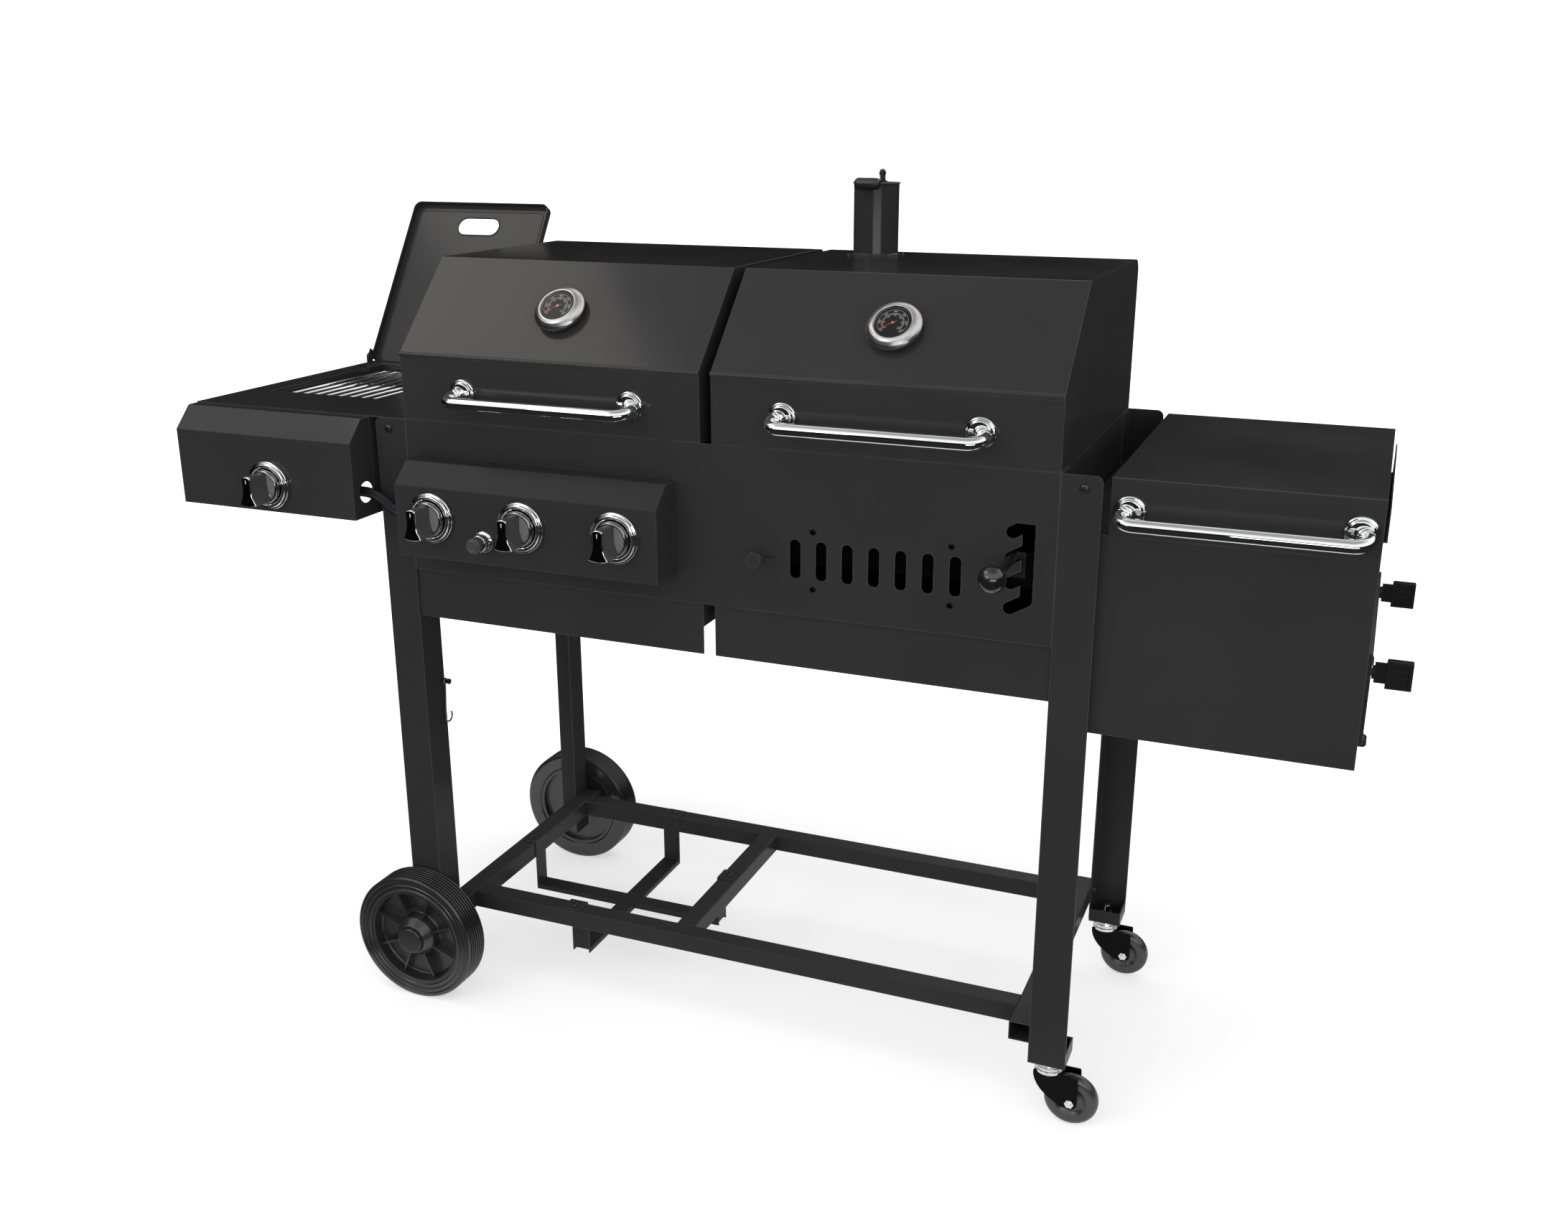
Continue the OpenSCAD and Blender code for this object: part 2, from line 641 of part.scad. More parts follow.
// ---------------------------------------------------------------- gas controls
module ctrl_outline(t) {
    k = t * (sqrt(2) - 1);
    polygon([[0 + 1 * (t > 0 ? 1 : 0), deck_h - ctrl_drop + t], [-ctrl_d + t, deck_h - ctrl_drop + t],
             [-ctrl_d + t, deck_h - ctrl_fold - k], [-ctrl_top_d - k, deck_h - ctrl_top - t],
             [0 + 1 * (t > 0 ? 1 : 0), deck_h - ctrl_top - t]]);
}
igniter_x = knob_mid - 64.7;
igniter_z = knob_z - 28;
module control_box() place() color("#252525") difference() {
    push_x(panel_x0, panel_x1) ctrl_outline(0);
    push_x(panel_x0 + sheet, panel_x1 - sheet) ctrl_outline(sheet);
    for (x = knob_xs) bar_y(-ctrl_d - 5, -ctrl_d + 5, x, knob_z, 8);
    bar_y(-ctrl_d - 5, -ctrl_d + 5, igniter_x, igniter_z, 12.1);
    bar_x(panel_x0 - 5, panel_x0 + 5, manifold_y, manifold_z, hose_dia / 2 + run_fit);
    bar_z(deck_h - ctrl_drop - 5, deck_h - ctrl_drop + 5, panel_x1 - 30, manifold_y, 12);
}

// A knob with its shaft; the axis points to the front from the panel's face
module knob() {
    r = knob_dia / 2;
    h = bezel_h + knob_len;
    rotate_extrude() polygon([[0, -24], [4, -24], [4, 1], [r, 1], [r + 1, 4], [r, 13], [r - 3, 16], [0, 16]]);
    difference() {
        intersection() {
            translate([0, 0, 15]) cylinder(h = h - 15, r1 = r - 3, r2 = r - 6);
            translate([-grip_w / 2, -r, 0]) cube([grip_w, 2 * r, h]);
        }
        translate([-0.8, r / 2, h - 1]) cube([1.6, r, 3]);
    }
}
module at_knob(x, y, z) translate([x, y, z]) rotate([90, 0, 0]) children();
module left_knob() place() color("#1d1d1d") at_knob(knob_xs[0], -ctrl_d, knob_z) knob();
module middle_knob() place() color("#1d1d1d") at_knob(knob_xs[1], -ctrl_d, knob_z) knob();
module right_knob() place() color("#1d1d1d") at_knob(knob_xs[2], -ctrl_d, knob_z) knob();
module side_knob() place() color("#1d1d1d") at_knob(side_knob_x, -side_d, side_knob_z) knob();

module bezel() rotate_extrude() {
    r = bezel_dia / 2;
    q = knob_dia / 2 + 3;
    polygon([[q, 0], [r - 1, 0], [r, 3], [r, 7], [r - 2.5, 9], [r - 4.5, 9], [r - 5, bezel_h],
             [q + 1, bezel_h], [q, bezel_h - 2]]);
}
module knob_bezels() place() color("#cfcfd1") {
    for (x = knob_xs) at_knob(x, -ctrl_d, knob_z) bezel();
    at_knob(side_knob_x, -side_d, side_knob_z) bezel();
    at_knob(igniter_x, -ctrl_d, igniter_z) rotate_extrude() {
        r = nut_dia / 2;
        polygon([[10 + run_fit, -16], [12, -16], [12, 0], [r, 0], [r, 4], [r - 1.5, 5], [r - 1.5, 16],
                 [r - 3.5, 18], [10 + run_fit, 18]]);
    }
}
module igniter_button() place() color("#161616") at_knob(igniter_x, -ctrl_d, igniter_z)
    rotate_extrude() polygon([[0, -8], [10, -8], [10, 19 + button_travel], [12, 19 + button_travel],
                              [12, 32], [9, 35], [0, 35]]);

// Gas pipe with a valve for every knob and the inlet fitting
module gas_manifold() place() color("#a8905c") difference() {
    union() {
        bar_x(panel_x0 + 12, panel_x1 - 20, manifold_y, manifold_z, 9);
        for (x = knob_xs) {
            box([x - 11, -ctrl_d + 12, manifold_z - 9], [x + 11, manifold_y, knob_z + 12]);
            bar_y(manifold_y, -1, x, manifold_z, 4);
        }
        bar_z(deck_h - ctrl_drop + 6, manifold_z, panel_x1 - 30, manifold_y, 7);
        translate([panel_x1 - 30, manifold_y, deck_h - ctrl_drop + 4]) cylinder(h = 14, r = 11, $fn = 6);
        for (x = [panel_x0 + 40, panel_x1 - 100])
            box([x - 8, manifold_y, manifold_z - 3], [x + 8, 0, manifold_z + 3]);
    }
    for (x = knob_xs) bar_y(-ctrl_d, -ctrl_d + 30, x, knob_z, 4 + run_fit);
    bar_z(deck_h - ctrl_drop, deck_h - ctrl_drop + 28, panel_x1 - 30, manifold_y, 4);
}
module gas_burners() place() color("#8b8a88") for (x = knob_xs) {
    difference() {
        bar_y(-3, back_in - 30, x, manifold_z, 13.2);
        bar_y(-4, back_in - 32, x, manifold_z, 11.7);
        for (i = [0:11]) bar_x(x - 14, x + 14, 70 + i * (back_in - 143.5) / 11, manifold_z + 5, 1.8);
    }
    box([x - 10, back_in - 31, manifold_z - 12], [x + 10, back_in, manifold_z - 9]);
}
module heat_plates() place() color("#6f6d6b") for (x = knob_xs)
    push_y(front_in + sheet + 1, back_in - 1) translate([x, tent_z])
        polygon([[-58, 0], [-55, 0], [-2, 22], [2, 22], [55, 0], [58, 0], [58, 1.6], [2, 24], [-2, 24], [-58, 1.6]]);

// A cooking grid between x0 and x1, lying on the ledges
module grid(x0, x1) {
    y0 = front_in + sheet + 2;
    y1 = back_in - 2;
    n = floor((x1 - x0 - 10) / 18);
    for (y = [y0, y1 - 7]) box([x0, y, ledge_z], [x1, y + 7, ledge_z + 7]);
    box([x0, (y0 + y1) / 2 - 3, ledge_z], [x1, (y0 + y1) / 2 + 3, ledge_z + 5]);
    for (i = [0:n]) translate([x0 + i * (x1 - x0 - 6) / n, y0, ledge_z + 2]) cube([6, y1 - y0, 8]);
}
module cooking_grates() place() color("#3a3937") {
    for (i = [0:1]) grid(-hw + 4 + i * (lid_w - 6) / 2, -hw + 4 + (i + 1) * (lid_w - 6) / 2 - 2);
    for (i = [0:1]) grid(lid_gap / 2 + 4 + i * (lid_w - 6) / 2, lid_gap / 2 + 4 + (i + 1) * (lid_w - 6) / 2 - 2);
}
module grease_tray() place() color("#55555a") {
    z0 = floor_z - drip_h - 6 + sheet + gap;
    difference() {
        box([drip_x - drip_w / 2, drip_y0 + 4, z0], [drip_x + drip_w / 2, box_d + 4, z0 + drip_h - 3]);
        box([drip_x - drip_w / 2 + sheet, drip_y0 + 4 + sheet, z0 + sheet],
            [drip_x + drip_w / 2 - sheet, box_d + 4 - sheet, z0 + drip_h]);
    }
    box([drip_x - 40, box_d + 4 - eps, z0 + 4], [drip_x + 40, box_d + 16, z0 + 4 + sheet]);
}

// ---------------------------------------------------------------- charcoal tray
coal_deep = 50;
tray_x0 = lid_gap / 2 + sheet + 10;
tray_x1 = hw - sheet - 32;
tray_y0 = front_in + sheet + 14;
module charcoal_tray() place() color("#4a4542") {
    z1 = lever_z + 6;
    z0 = z1 - coal_deep;
    difference() {
        box([tray_x0, tray_y0, z0], [tray_x1, back_in - 16, z1]);
        box([tray_x0 + 2, tray_y0 + 2, z0 + 2], [tray_x1 - 2, back_in - 18, z1 + 1]);
        for (i = [0:8]) for (j = [0:2]) translate([tray_x0 + 40 + i * 44, 60 + j * 140, z0 - 1]) cube([16, 100, 5]);
    }
    bar_y(back_in - 17, back_in - 4, notch_x, lever_z, lever_dia / 2);
    box([notch_x - 12, back_in - 18 + eps, lever_z - 20], [notch_x + 12, back_in - 16, lever_z + 9]);
}
module tray_lever() place() color("#c9c9cb") {
    bar_y(-lever_out + lever_knob / 2, tray_y0 - 3 + eps, notch_x, lever_z, lever_dia / 2);
    box([notch_x - 16, tray_y0 - 3, lever_z - 30], [notch_x + 16, tray_y0, lever_z + 6]);
    translate([notch_x, -lever_out + lever_knob / 2, lever_z]) sphere(d = lever_knob);
    bar_y(-lever_out + lever_knob - 1.5, -lever_out + lever_knob + 5, notch_x, lever_z, lever_dia / 2 + 2);
}

// ---------------------------------------------------------------- hinges
hinge_gap = 7;
hinge_in = 85.5;
hinge_off = lid_w / 2 - hinge_in;
knuckle_w = 10.5;
// Half of a hinge that stays: leaf below, outer knuckles and pin. It stands on the wall's face
module hinge_fixed(x, y, z) translate([x, y, z]) {
    bar_x(-29, 29, hinge_gap, 0, pin_dia / 2);
    for (s = [-1, 1]) {
        a = s > 0 ? knuckle_w + 0.5 : -29;
        bar_x(a, a + 29 - knuckle_w - 0.5, hinge_gap, 0, knuckle_r);
        box([a, 0, -30], [a + 29 - knuckle_w - 0.5, 2, 0]);
    }
    box([-29, 0, -30], [29, 2, -9]);
}
// Half that moves with the lid: leaf above and the middle knuckle
module hinge_moving(x, y, z) translate([x, y, z]) {
    difference() {
        union() {
            bar_x(-knuckle_w, knuckle_w, hinge_gap, 0, knuckle_r);
            box([-knuckle_w, -eps, lid_seam], [knuckle_w, 2, 9]);
        }
        bar_x(-30, 30, hinge_gap, 0, pin_dia / 2 + run_fit);
    }
    box([-25, -eps, 8.5], [25, 2, 30]);
}
gas_mid = -hw + lid_w / 2;
char_mid = hw - lid_w / 2;
module lid_hinges() place() color("#3c3c3e")
    for (x = [gas_mid, char_mid]) for (s = [-1, 1]) hinge_fixed(x + s * hinge_off, box_d, deck_h);

// ---------------------------------------------------------------- lids
module lid_outline(t) {
    k = t / cos(slope_a) - t * tan(slope_a);
    r = max(lid_back_r - t, 0.5);
    z1 = lid_h - t;
    y1 = box_d - t;
    z0 = t > 0 ? lid_seam - 5 : lid_seam;
    polygon([[t, z0], [t, lid_front_h - k], [(z1 - lid_front_h + t / cos(slope_a)) / tan(slope_a), z1],
             [y1 - r, z1], [y1 - r, z1 - r], [y1, z1 - r], [y1, z0]]);
    translate([y1 - r, z1 - r]) circle(r);
}
// Sheet lid between x0 and x1, its bead and its hinge leaves
module lid(x0, x1) {
    mid = (x0 + x1) / 2;
    difference() {
        union() {
            translate([0, 0, deck_h]) push_x(x0, x1) lid_outline(0);
            bar_x(x0, x1, 1, deck_h + lid_front_h - 3, bead_r);
        }
        translate([0, 0, deck_h]) push_x(x0 + sheet, x1 - sheet) lid_outline(sheet);
        at_slope(mid) translate([0, 0, -10]) cylinder(h = 20, r = 3.5 + run_fit);
    }
    for (s = [-1, 1]) hinge_moving(mid + s * hinge_off, box_d, deck_h);
}
module at_slope(x) translate([x, gauge_up * cos(slope_a), deck_h + lid_front_h + gauge_up * sin(slope_a)])
    rotate([slope_a, 0, 0]) children();

module gas_lid() place() color("#2a292a") lid(-hw, -lid_gap / 2);
module charcoal_lid() place() color("#2a292a") difference() {
    lid(lid_gap / 2, hw);
    bar_z(lid_top - 10, lid_top + 5, flue_x, flue_y, flue_dia / 2 - 3);
}

// A bent bail handle standing on the plane y = 0 at the height z = 0. Thin bands cover its joints
module bail() {
    a = 30;
    r = handle_dia / 2;
    leg = (handle_out - handle_bend * (1 + sin(a))) / cos(a);
    cu = leg * sin(a) - handle_bend * cos(a);
    cv = leg * cos(a) + handle_bend * sin(a);
    end = handle_w / 2 + cu;
    difference() {
        rotate([180 + handle_tilt, 0, 0]) {
            for (s = [0, 1]) mirror([s, 0, 0]) {
                translate([handle_w / 2, 0, 0]) {
                    rotate(-a) rotate([-90, 0, 0]) cylinder(h = leg - band, r = r);
                    rotate(-a) rotate([-90, 0, 0]) translate([0, 0, leg - 1]) cylinder(h = 2, r = r + band);
                    translate([cu, cv, 0]) rotate(-a) rotate_extrude(angle = 90 + a)
                        translate([handle_bend, 0]) circle(r);
                }
                bar_x(end - 1, end + 1, handle_out, 0, r + band);
            }
            bar_x(-end + band, end - band, handle_out, 0, r);
        }
        box([-handle_w, 0, -60], [handle_w, 60, 60]);
    }
    for (s = [-1, 1]) turned_front(s * handle_w / 2, 0, 0)
        polygon([[0, 0], [rosette_dia / 2, 0], [rosette_dia / 2, 2], [rosette_dia / 2 - 4, 5],
                 [r + 4, 7], [r + 3, 10], [0, 10]]);
}
module gas_lid_handle() place() color("#c4c4c7") translate([gas_mid, 0, deck_h + handle_z]) bail();
module charcoal_lid_handle() place() color("#c4c4c7") translate([char_mid, 0, deck_h + handle_z]) bail();
module firebox_handle() place() color("#c4c4c7")
    translate([(fire_x0 + fire_x1) / 2, fire_y, fire_top + 34]) bail();

module gauge() rotate_extrude() {
    r = gauge_dia / 2;
    h = gauge_out;
    polygon([[0, -52], [3.5, -52], [3.5, 0], [r - 8, 0], [r - 7, 4], [r - 4, 5], [r, h - 11], [r, h - 8],
             [r - 3.5, h - 4], [r - 12, h], [r - 14, h - 2], [r - 14, h - 3.5], [0, h - 3.5]]);
}
module gas_thermometer() place() color("#b4b2ae") at_slope(gas_mid) gauge();
module charcoal_thermometer() place() color("#b4b2ae") at_slope(char_mid) gauge();

// ---------------------------------------------------------------- chimney
bolt_y = flue_y + flue_dia / 2 - 7.5;
flue_top = lid_top + flue_h;
module chimney_tube() place() color("#2a292a") {
    difference() {
        union() {
            bar_z(lid_top, flue_top, flue_x, flue_y, flue_dia / 2);
            bar_z(lid_top, lid_top + 1.5, flue_x, flue_y, flue_dia / 2 + 5);
        }
        bar_z(lid_top - 1, flue_top + 1, flue_x, flue_y, flue_dia / 2 - 1.5);
    }
    difference() {
        intersection() {
            bar_z(flue_top - 20, flue_top - 1, flue_x, flue_y, flue_dia / 2 - 0.5);
            bar_z(flue_top - 20, flue_top - 1, flue_x, bolt_y, 9);
        }
        bar_z(flue_top - 30, flue_top + 5, flue_x, bolt_y, 3 + run_fit);
    }
}
module chimney_cap() place() color("#262526") difference() {
    union() {
        bar_z(flue_top + gap, flue_top + gap + 1.5, flue_x, flue_y, flue_dia / 2 + 2);
        box([flue_x - 10, flue_y - flue_dia / 2 - 10, flue_top + gap],
            [flue_x + 10, flue_y - flue_dia / 2 + 5, flue_top + gap + 1.5]);
        bar_x(flue_x - 20, flue_x + 20, flue_y - flue_dia / 2 - 9, flue_top + gap + 1, 8.7);
    }
    bar_z(flue_top - 5, flue_top + 5, flue_x, bolt_y, 3 + run_fit);
    difference() {
        bar_z(flue_top - 20, flue_top + gap, flue_x, flue_y, flue_dia / 2 + 1);
        bar_z(flue_top - 21, flue_top + 1, flue_x, flue_y, 1);
    }
}
module chimney_bolt() place() color("#c9c9cb") {
    bar_z(flue_top - 26, flue_top + 18, flue_x, bolt_y, 3);
    bar_z(flue_top - 26, flue_top - 20, flue_x, bolt_y, 5.5);
    bar_z(flue_top + 2.4, flue_top + 4, flue_x, bolt_y, 7.5);
    bar_z(flue_top + 4 - eps, flue_top + 12, flue_x, bolt_y, 4.6);
    translate([flue_x, bolt_y, flue_top + 12 - eps]) cylinder(h = 6, r = 5.5, $fn = 6);
    translate([flue_x, bolt_y, flue_top + 16.5]) sphere(r = 4.3);
    for (a = [-1, 1]) for (b = [-1, 1])
        head_up(flue_x + a * flue_screws / 2, flue_y + b * flue_screws / 2, lid_top, 3.5, 2.5);
}

// ---------------------------------------------------------------- side burner
// Tray sheet over the left legs with a recess, side walls and back wall of the box under it
side_z0 = deck_h - side_h;
ear_x = [lid_mid_x - side_lid_w / 2 - 0.5, lid_mid_x + side_lid_w / 2 + 0.5];
module side_tray() place() color("#282828") {
    difference() {
        union() {
            box([side_x0, 0, deck_h - sheet], [-hw, box_d, deck_h]);
            for (x = [side_x0, side_x1 - sheet]) box([x, 0, side_z0], [x + sheet, box_d, deck_h - sheet + eps]);
            box([side_x0, back_in, side_z0], [side_x1, box_d, deck_h - sheet + eps]);
            box([pan_x0 - sheet, pan_y0 - sheet, deck_h - pan_drop - sheet],
                [pan_x1 + sheet, pan_y1 + sheet, deck_h - sheet + eps]);
        }
        box([pan_x0, pan_y0, deck_h - pan_drop], [pan_x1, pan_y1, deck_h + 1]);
        bar_z(deck_h - pan_drop - 5, deck_h - pan_drop + 5, lid_mid_x, (pan_y0 + pan_y1) / 2, 14);
    }
    for (i = [0, 1]) {
        x0 = i == 0 ? ear_x[0] - 2 : ear_x[1];
        push_x(x0, x0 + 2) translate([side_hinge_y, 0]) {
            translate([-8, deck_h - eps]) square([16, side_hinge_z - deck_h]);
            translate([0, side_hinge_z]) circle(8);
        }
        bar_x(i == 0 ? ear_x[0] - eps : ear_x[1] - 4, i == 0 ? ear_x[0] + 4 : ear_x[1] + eps,
              side_hinge_y, side_hinge_z, pin_dia / 2);
    }
    // posts that carry the grate
    for (x = [pan_x0 + 14, pan_x1 - 22]) for (y = [pan_y0 + 10, pan_y1 - 18])
        box([x, y, deck_h - pan_drop - eps], [x + 8, y + 8, deck_h - 14]);
}

module side_outline(t) {
    k = t * (sqrt(2) - 1);
    e = t > 0 ? 1 : 0;
    polygon([[e, side_z0 - e], [-side_d + t, side_z0 - e], [-side_d + t, deck_h - 35 - k],
             [-19.4 - k, deck_h - sheet - t], [e, deck_h - sheet - t]]);
}
module side_fascia() place() color("#282828") difference() {
    push_x(side_x0, side_x1) side_outline(0);
    push_x(side_x0 + sheet, side_x1 - sheet) side_outline(sheet);
    bar_y(-side_d - 5, -side_d + 5, side_knob_x, side_knob_z, 8);
    bar_x(side_x1 - 5, side_x1 + 5, manifold_y, hose_z0, 16.5);
}

burner_y = (pan_y0 + pan_y1) / 2;
module side_burner() place() color("#9a8d6a") {
    difference() {
        union() {
            box([side_knob_x - 11, -side_d + 12, side_knob_z - 12], [side_knob_x + 11, -side_d + 40, side_knob_z + 12]);
            box([side_knob_x - 11, -side_d + sheet, side_knob_z + 9], [side_knob_x + 11, -side_d + 14, side_knob_z + 12]);
        }
        bar_y(-side_d, -side_d + 30, side_knob_x, side_knob_z, 4 + run_fit);
    }
    bar_x(side_knob_x + 10, side_x1 - 42, manifold_y, hose_z0, 6);
    bar_y(-side_d + 39, burner_y, side_knob_x, side_knob_z, 7);
    bar_x(lid_mid_x, side_knob_x, burner_y, side_knob_z, 7);
    bar_z(side_knob_z, deck_h - pan_drop + 10, lid_mid_x, burner_y, 11);
    translate([lid_mid_x, burner_y, deck_h - pan_drop]) rotate_extrude()
        polygon([[0, 6], [20, 6], [46, 12], [46, 22], [40, 26], [12, 26], [8, 30], [0, 30]]);
    bar_z(deck_h - pan_drop, deck_h - pan_drop + 7, lid_mid_x, burner_y, 20);
}

// Grate of rods that lies in the recess
module side_grate() place() color("#333231") {
    r = 3.2;
    z = deck_h - 14 + r;
    x0 = pan_x0 + 11;
    x1 = pan_x1 - 11;
    for (i = [0:8]) bar_y(pan_y0 + 4, pan_y1 - 4, x0 + i * (x1 - x0) / 8, z, r);
    for (y = [pan_y0 + 14, pan_y1 - 14]) bar_x(x0, x1, y, z, r - 0.4);
}

// Lid with its closed shape about the hinge, then swung open
module side_lid() place() color("#272727")
    translate([lid_mid_x, side_hinge_y, side_hinge_z]) rotate([-side_open, 0, 0]) {
        w = side_lid_w / 2;
        difference() {
            union() {
                translate([0, 0, lid_lift - sheet]) linear_extrude(sheet) difference() {
                    rounded_lid(w);
                    slot2d([-27, -282], [27, -282], 34);
                }
                translate([0, 0, lid_lift - side_rim]) linear_extrude(side_rim) difference() {
                    rounded_lid(w);
                    rounded_lid_in(w);
                }
            }
            box([-w - 1, -6, -40], [w + 1, 5, lid_lift - sheet]);
        }
        for (s = [-1, 1]) push_x(s > 0 ? w - sheet : -w, s > 0 ? w : -w + sheet) difference() {
            union() {
                circle(8);
                translate([-14, -8]) square([14, lid_lift + 8 - eps]);
            }
            circle(pin_dia / 2 + run_fit);
        }
    }
lid_round = 14;
module rounded_lid(w) {
    r = lid_round;
    translate([-w, -side_lid_d + r]) square([2 * w, side_lid_d - r]);
    translate([-w + r, -side_lid_d]) square([2 * w - 2 * r, r + 1]);
    for (s = [-1, 1]) translate([s * (w - r), -side_lid_d + r]) circle(r);
}
module rounded_lid_in(w) {
    r = lid_round - sheet;
    q = w - sheet;
    d = side_lid_d - sheet;
    translate([-q, -d + r]) square([2 * q, d - r + 1]);
    translate([-q + r, -d]) square([2 * q - 2 * r, r + 1]);
    for (s = [-1, 1]) translate([s * (q - r), -d + r]) circle(r);
}

// The hose from the control box to the side burner, with thin bands over its joints
module gas_hose() place() color("#1b1c22") {
    r = 4 * hose_dia;
    q = hose_dia / 2;
    drop = hose_z0 - hose_z1;
    a = acos(1 - drop / (2 * r));
    run = 2 * r * sin(a);
    x0 = panel_x0 - 4.5 - run;
    short = band / r * 180 / PI;
    translate([x0, manifold_y, hose_z0]) rotate([90, 0, 0]) {
        translate([0, -r, 0]) rotate(90 - a + short)
            rotate_extrude(angle = a - short) translate([r, 0]) circle(q);
        translate([run, r - drop, 0]) rotate(270 - a + short)
            rotate_extrude(angle = a - short) translate([r, 0]) circle(q);
        translate([run / 2, -drop / 2, 0]) rotate(-a) bar_x(-1, 1, 0, 0, q + band);
    }
    bar_x(side_x1 - 42, x0 - band, manifold_y, hose_z0, q);
    bar_x(x0 - 1, x0 + 1, manifold_y, hose_z0, q + band);
    bar_x(x0 + run + band, panel_x0 + 12, manifold_y, hose_z1, q);
    bar_x(x0 + run - 1, x0 + run + 1, manifold_y, hose_z1, q + band);
}

// ---------------------------------------------------------------- offset firebox
fire_mid = (fire_x0 + fire_x1) / 2;
fire_left = hw + leg_t;
fire_ledge = door_z + door_h + 14;
door_axis_x = fire_x1 + 5.5;
door_axis_z = door_z - 6;
open_y0 = door_y0 + 6;
open_y1 = door_y1 - 6;
module offset_firebox() place() color("#262626") difference() {
    union() {
        difference() {
            box([fire_left, fire_y, fire_z], [fire_x1, fire_y1, fire_top]);
            box([fire_left + fire_t, fire_y + fire_t, fire_z + fire_t],
                [fire_x1 - fire_t, fire_y1 - fire_t, fire_top - fire_t]);
            box([fire_x0 + fire_t, fire_y + fire_t, fire_top - 5], [fire_x1 - fire_t, fire_y1 - fire_t, fire_top + 5]);
        }
        box([hw, passage_y0 - 6, passage_z0 - 6], [fire_left + eps, passage_y1 + 6, passage_z1 + 6]);
        for (s = [-1, 1]) hinge_fixed(fire_mid + s * 110, fire_y1, fire_top);
        for (y = [fire_y + fire_t - eps, fire_y1 - fire_t - 12])
            box([fire_left + fire_t - eps, y, fire_ledge - 2], [fire_x1 - fire_t + eps, y + 12 + eps, fire_ledge]);
        // ears of the ash door's hinge
        for (y = [door_y0 + 20, door_y1 - 26]) {
            push_y(y, y + 6) {
                translate([door_axis_x, door_axis_z]) circle(5);
                translate([fire_x1 - eps, door_axis_z - 5]) square([door_axis_x - fire_x1, 10]);
            }
        }
        bar_y(door_y0 + 20, door_y0 + 44, door_axis_x, door_axis_z, 2.5);
        bar_y(door_y1 - 44, door_y1 - 20, door_axis_x, door_axis_z, 2.5);
    }
    box([hw - 5, passage_y0, passage_z0], [fire_left + 10, passage_y1, passage_z1]);
    box([fire_x1 - 5, open_y0, door_z + 6], [fire_x1 + 1, open_y1, door_z + door_h - 6]);
}
module firebox_lid() place() color("#2a292a") {
    difference() {
        box([fire_x0, fire_y, fire_top + lid_seam], [fire_x1, fire_y1, deck_h - 1.8]);
        box([fire_x0 + fire_t, fire_y + fire_t, fire_top - 5], [fire_x1 - fire_t, fire_y1 - fire_t, deck_h - 1.8 - fire_t]);
    }
    for (s = [-1, 1]) hinge_moving(fire_mid + s * 110, fire_y1, fire_top);
    box([fire_x1 - eps, fire_y + 22, fire_top + 18], [fire_x1 + 5, fire_y1 - 40, fire_top + 20]);
    box([fire_x1 + 3, fire_y + 22, fire_top + 18], [fire_x1 + 5, fire_y1 - 40, fire_top + 62]);
}
module ash_door() place() color("#2b2a2b") difference() {
    union() {
        difference() {
            box([fire_x1 + gap, door_y0, door_z], [fire_x1 + 5.5, door_y1, door_z + door_h]);
            box([fire_x1 - 1, door_y0 + 2, door_z + 2], [fire_x1 + 3.5, door_y1 - 2, door_z + door_h - 2]);
        }
        for (y = [door_y0 + 26.5, door_y1 - 43.5]) {
            bar_y(y, y + 17, door_axis_x, door_axis_z, 5);
            box([door_axis_x - 2, y, door_axis_z], [door_axis_x, y + 17, door_z + 4]);
        }
    }
    for (y = [door_y0 + 20, door_y1 - 50]) bar_y(y, y + 30, door_axis_x, door_axis_z, 2.5 + run_fit);
    for (y = [door_y0 + latch_in, door_y1 - latch_in])
        bar_x(fire_x1 - 5, fire_x1 + 10, y, latch_z, 5 + run_fit);
}
// Turn latch: shaft, tongue behind the door and a flat grip with a shallow window
module latch(y) translate([0, y, latch_z]) {
    x0 = fire_x1 + 6;
    bar_x(fire_x1 - 6, x0 + eps, 0, 0, 5);
    box([fire_x1 - 8, -5, -14], [fire_x1 - 6 + eps, 5, 5]);
    bar_x(x0, x0 + 4, 0, 0, 9);
    difference() {
        union() {
            box([x0 + 3, -3, -14], [fire_x1 + latch_out - 31, 3, 14]);
            box([fire_x1 + latch_out - 32, -4, -20], [fire_x1 + latch_out, 4, 20]);
        }
        for (s = [-1, 1]) box([fire_x1 + latch_out - 26, s * 5 - 2, -13], [fire_x1 + latch_out - 6, s * 5 + 2, 13]);
    }
}
module front_latch() place() color("#1b1b1b") latch(door_y0 + latch_in);
module back_latch() place() color("#1b1b1b") latch(door_y1 - latch_in);
module fire_grate() place() color("#474341") {
    y0 = fire_y + fire_t + 2;
    y1 = fire_y1 - fire_t - 2;
    x0 = fire_left + fire_t + 4;
    x1 = fire_x1 - fire_t - 4;
    for (i = [0:16]) translate([x0 + i * (x1 - x0 - 8) / 16, y0, fire_ledge]) cube([8, y1 - y0, 8]);
    for (y = [y0 + 16, y1 - 24]) box([x0, y, fire_ledge], [x1, y + 8, fire_ledge + 6]);
}

